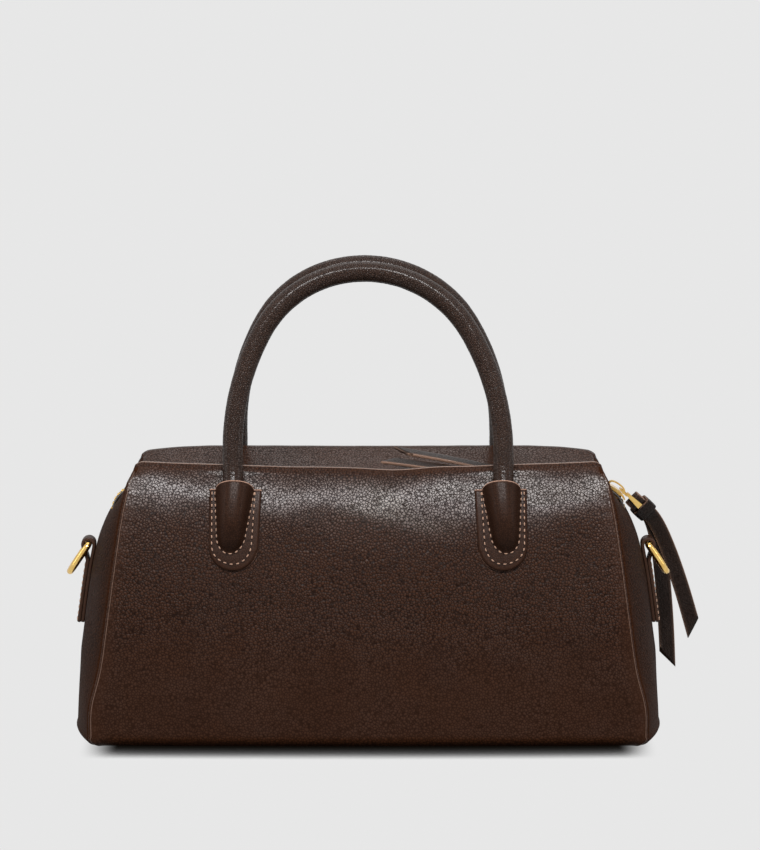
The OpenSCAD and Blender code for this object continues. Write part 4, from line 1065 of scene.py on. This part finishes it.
def strapHalf(spec, side, length, share, twistEnd):  # one half of the strip, from the link to its tail
    t = np.linspace(0, 1, 46)
    ply = side * (spec["thick"] / 2 + 0.1)
    mid = spec["barRadius"] + spec["gap"] + spec["thick"] / 2
    link, bandFrom = spec["link"], spec["bandFrom"]
    start = np.array([bandFrom + spec["bandLong"], 0, ply])
    tail = curve(start, start + (length * spec["lead"], 0, 0), start + np.array(share) * length, t)
    tail[:, 2] += spec["wave"] * np.sin(t * 9 + side) * t
    tail[:, 1] += spec["bow"] * np.sin(math.pi * t) * side
    wrap = np.radians(np.linspace(180 - 2 * side, 180 - 90 * side, 9))
    loop = np.stack([link + mid * np.cos(wrap), 0 * wrap, mid * np.sin(wrap)], 1)
    neck = curve((link, 0, side * mid), (bandFrom - spec["neck"], 0, side * mid), (bandFrom, 0, ply),
                 np.linspace(0, 1, 8)[1:])
    path = np.concatenate([loop, neck, np.linspace(neck[-1], start, 6)[1:-1], tail])
    sections, edge = stripSections(spec, len(path), -side * spec["cut"])
    twist = np.zeros(len(path))
    twist[-len(t):] = math.radians(twistEnd) * smoothStep(t, 0, 0.5)
    points, faces = sweep(path, np.stack([0 * twist, np.cos(twist), np.sin(twist)], 1), sections)
    return points, faces, np.tile(edge, len(path))


def bandMesh(spec):  # a squarish sleeve over both plies, open at its two ends
    count = spec["bandSides"]
    a = np.linspace(0, 2 * math.pi, count, endpoint=False)
    y, z = (np.sign(f) * np.abs(f) ** spec["bandPower"] for f in (np.cos(a), np.sin(a)))
    inY, inZ = spec["wide"] / 2 + 0.2, spec["thick"] + 0.3
    rows = [(place, spec["bandWall"], fall) for place, fall, _ in bandRows]
    rows += [(place, 0, 0) for place, _, _ in bandRows[::-1]]
    points = [np.stack([np.full(count, spec["bandFrom"] + place), (inY + grow) * y * (1 - fall / 6),
                        (inZ + grow) * z * (1 - fall / 4)], 1) for place, grow, fall in rows]
    light = [light for _, _, light in bandRows] + [0.2] * len(bandRows)
    return np.concatenate(points), ringFaces(len(rows), count, closed=True), np.repeat(light, count)


def addPull(word, body, spec, pull):
    halves = [strapHalf(spec, -1, spec["longTail"], pull["long"], pull["twist"][0]),
              strapHalf(spec, 1, spec["shortTail"], pull["short"], pull["twist"][1])]
    points, faces = joined([(pullPlace(points, pull), faces) for points, faces, _ in halves])
    addPiece(word + "PullStrap", body, "pull_leather", pullLeather, points, faces,
             {"edge": np.concatenate([edge for _, _, edge in halves]), "polish": np.full(len(points), 0.3)},
             stands=[word.lower() + "_pull_strap"])
    points, faces, light = bandMesh(spec)
    addPiece(word + "PullBand", body, "pull_leather", pullLeather, pullPlace(points, pull), faces,
             {"edge": light}, stands=[word.lower() + "_pull_band"])


addPull("Top", "top_pull", pullShape, topPull)
addPull("End", "end_pull", pullShape, endPull)
print("pulls made")

# Ring tabs: a strip folded over the ring's bar and sewn down the gusset
ringTabShape = {"height": 94.5, "length": 40.0, "wide": 12.4, "thick": 1.6, "wire": 1.7, "gap": 0.6,
                "join": 0.2, "stitchIn": 1.8, "footUp": 1.8}
ringShape = {"halfBar": 8.3, "side": 9.0, "lean": 34.0, "corner": 1.2, "sides": 20}
ringThread = dict(tabThread, pitch=3.0, long=2.1, radius=0.3)


def gussetMiddle(z, off):  # how far out the middle of a gusset is at height z, and off more
    return seamLen(z) + bulge(z) + 0.2 + off


ringOff = ringTabShape["wire"] + ringTabShape["gap"]
ringX = float(gussetMiddle(ringTabShape["height"], ringOff + ringTabShape["thick"]))


def addRingTabs(spec):
    z0 = spec["height"]
    loopMid = ringOff + spec["thick"] / 2
    joint = z0 - spec["length"] * spec["join"]
    z = np.linspace(z0 - spec["length"], joint, 20)
    plies = (spec["thick"] / 2, spec["thick"] * 1.5 + 0.2)
    inside, outside = (np.stack([gussetMiddle(z, off), 0 * z, z], 1) for off in plies)
    a = np.radians(np.linspace(180, 0, 25))
    loop = np.stack([ringX + loopMid * np.cos(a), 0 * a, z0 + loopMid * np.sin(a)], 1)
    path = softened(resample(np.concatenate([inside, loop, outside[::-1]]), 0.9), 3)
    sections, edge = stripSections(spec, len(path), 0.0)
    points, faces = sweep(path, (0, 1, 0), sections)
    run = (path[:, 2] < joint) & (path[:, 0] > gussetMiddle(path[:, 2], spec["thick"]))
    line = path[run] + (spec["thick"] / 2 + 0.1, 0, 0)
    half = spec["wide"] / 2 - spec["stitchIn"]
    across = np.linspace(-half, half, 9)[:, None] * (0, 1, 0)
    seams = [line + (0, half, 0), line - (0, half, 0)]
    seams += [p + across for p in (line[2], line[-1] + (0, 0, spec["footUp"]), line[len(line) // 3])]
    for word, x in endSides:
        flat = (x, 1, 1)
        addPiece(word + "RingTab", "bag", "trim_leather", trimLeather, points * flat, facesFor(x, faces),
                 {"edge": np.tile(edge, len(path)) * 0.07, "polish": np.full(len(points), 0.4)},
                 stands=[word + "_ring_tab"])
        addStitches(word + "RingStitches", "bag", "trim_leather", tanThread,
                    [(seam * flat, np.tile([x, 0.0, 0.0], (len(seam), 1))) for seam in seams], ringThread)


def addRings(tabSpec, spec):
    b, s, corner = spec["halfBar"], spec["side"], spec["corner"]
    turn = np.radians(np.linspace(-90, 0, 6))
    right = np.stack([b - corner + corner * np.cos(turn), corner + corner * np.sin(turn)], 1)
    a = np.linspace(0, math.pi, 33)
    arc = np.stack([b * np.cos(a), s + b * np.sin(a)], 1)
    flat = np.concatenate([right, arc, right[::-1] * (-1, 1), right[:1]])
    path = np.column_stack([0 * flat[:, 0], flat[:, 0], -flat[:, 1]])
    path = softened(resample(path, 0.7)[:-1], 1)
    ahead = unit(np.roll(path, -1, axis=0) - np.roll(path, 1, axis=0))
    out = np.cross(ahead, (1.0, 0, 0))[:, None]
    turn = np.linspace(0, 2 * math.pi, spec["sides"], endpoint=False)[None, :, None]
    points = path[:, None] + tabSpec["wire"] * (np.cos(turn) * (1.0, 0, 0) + np.sin(turn) * out)
    placed = turned(points.reshape(-1, 3), "y", -spec["lean"]) + (ringX, 0, tabSpec["height"])
    faces = ringFaces(len(path), spec["sides"], closed=True)
    for word, x in endSides:
        addPiece(word + "Ring", word + "_ring_swing", "gold_metal", goldMetal, placed * (x, 1, 1),
                 facesFor(x, faces), stands=[word + "_ring"])


addRingTabs(ringTabShape)
addRings(ringTabShape, ringShape)
print("rings made")

# CAD parts that stay: sliders, links, stops and the base board, with softened edges
keptShape = {"bevel": 0.22, "segments": 3}
keptMetal = ("top_slider", "end_slider", "top_pull_link", "end_pull_link", "left_zip_stop", "right_zip_stop")
keptFinish = dict({name: goldMetal for name in keptMetal}, base_board=pressedBoard)


def keepNodes(spec):
    for name, finish in keptFinish.items():
        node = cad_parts[name]
        rest = node.data.attributes.new("restPlace", "FLOAT_VECTOR", "POINT")
        places = np.array([v.co[:] for v in node.data.vertices], np.float32) / mm
        rest.data.foreach_set("vector", places.ravel())
        node.data.materials.clear()
        node.data.materials.append(finish)
        soft = node.modifiers.new("softEdges", "BEVEL")
        soft.width, soft.segments = spec["bevel"] * mm, spec["segments"]
        soft.limit_method, soft.angle_limit = "ANGLE", math.radians(35)
        soft.use_clamp_overlap = True
        soft.harden_normals = False


keepNodes(keptShape)
print("metal finished")

# Floor, backdrop and soft lights
studio = {"pale": 0.80, "fill": 0.22, "shadowReach": 34.0, "shadowPower": 9.0,
          "shadow": rgb(0.006, 0.005, 0.004), "sideFrom": 126.0, "sideTo": 146.0,
          "floorHalf": 4, "floorBack": 9, "contactRays": 12}
lamps = [
    {"name": "frontSky", "place": (0.0, -1.35, 1.65), "aim": (0, 0, 0.10), "size": (1.3, 0.30),
     "power": 60.0},
    {"name": "leftBox", "place": (-1.5, -0.25, 0.55), "aim": (0, 0, 0.08), "size": (0.30, 0.9), "power": 3.0},
    {"name": "rightBox", "place": (1.5, -0.25, 0.55), "aim": (0, 0, 0.08), "size": (0.30, 0.9), "power": 3.0},
    {"name": "topBack", "place": (0.0, 0.8, 1.5), "aim": (0, 0, 0.12), "size": (1.4, 0.35), "power": 5.5}]


def paleMask(start):  # rays from the camera, off metal and through glass see the pale background
    names = ("Is Camera Ray", "Is Glossy Ray", "Is Transmission Ray")
    camera, glossy, through = (start.make("ShaderNodeLightPath", out=name) for name in names)
    return (camera + glossy + through).between(0.0, 1.0)


def addStudio(spec):
    world = bpy.data.worlds.new("studio")
    bpy.context.scene.world = world
    world.use_nodes = True
    tree = world.node_tree
    pale, fill = (rgb(*[spec[k]] * 3) for k in ("pale", "fill"))
    sky = paleMask(Sock(tree, None)).mixed(fill, pale)
    tree.links.new(sky.socket, tree.nodes["Background"].inputs["Color"])
    mesh = bpy.data.meshes.new("floor")
    half, back = spec["floorHalf"], spec["floorBack"]
    corners = [(-half, -half, 0), (half, -half, 0), (half, back, 0), (-half, back, 0)]
    mesh.from_pydata(corners, [], [(0, 1, 2, 3)])
    floor = bpy.data.objects.new("floor", mesh)
    bpy.context.scene.collection.objects.link(floor)
    finish = bpy.data.materials.new("paleFloor")
    finish.use_nodes = True
    tree = finish.node_tree
    start = Sock(tree, None)
    shader = tree.nodes["Principled BSDF"]
    shader.inputs["Base Color"].default_value = fill
    shader.inputs["Roughness"].default_value = 0.9
    shader.inputs["Specular IOR Level"].default_value = 0.0
    reach = {"Distance": spec["shadowReach"] * mm}
    contact = start.make("ShaderNodeAmbientOcclusion", {"samples": spec["contactRays"]}, reach, out=1)
    place = start.make("ShaderNodeTexCoord", out="Object")
    beside = place.split(0).size().between(spec["sideFrom"] * mm, spec["sideTo"] * mm)
    shade = contact ** spec["shadowPower"]
    shade = shade + (1.0 - shade) * beside
    look = {"Color": shade.mixed(spec["shadow"], pale), "Strength": 1.0}
    glow = start.make("ShaderNodeEmission", {}, look)
    halves = {0: paleMask(start), 1: Sock(tree, shader.outputs[0]), 2: glow}
    both = start.make("ShaderNodeMixShader", {}, halves)
    tree.links.new(both.socket, tree.nodes["Material Output"].inputs["Surface"])
    mesh.materials.append(finish)


def addLamp(spec):
    data = bpy.data.lights.new(spec["name"], "AREA")
    data.shape = "RECTANGLE"
    data.size, data.size_y = spec["size"]
    data.energy = spec["power"]
    lamp = bpy.data.objects.new(spec["name"], data)
    bpy.context.scene.collection.objects.link(lamp)
    lamp.location = spec["place"]
    way = Vector(spec["aim"]) - Vector(spec["place"])
    lamp.rotation_euler = way.to_track_quat("-Z", "Y").to_euler()


addStudio(studio)
for lamp in lamps:
    addLamp(lamp)
print("studio lit")
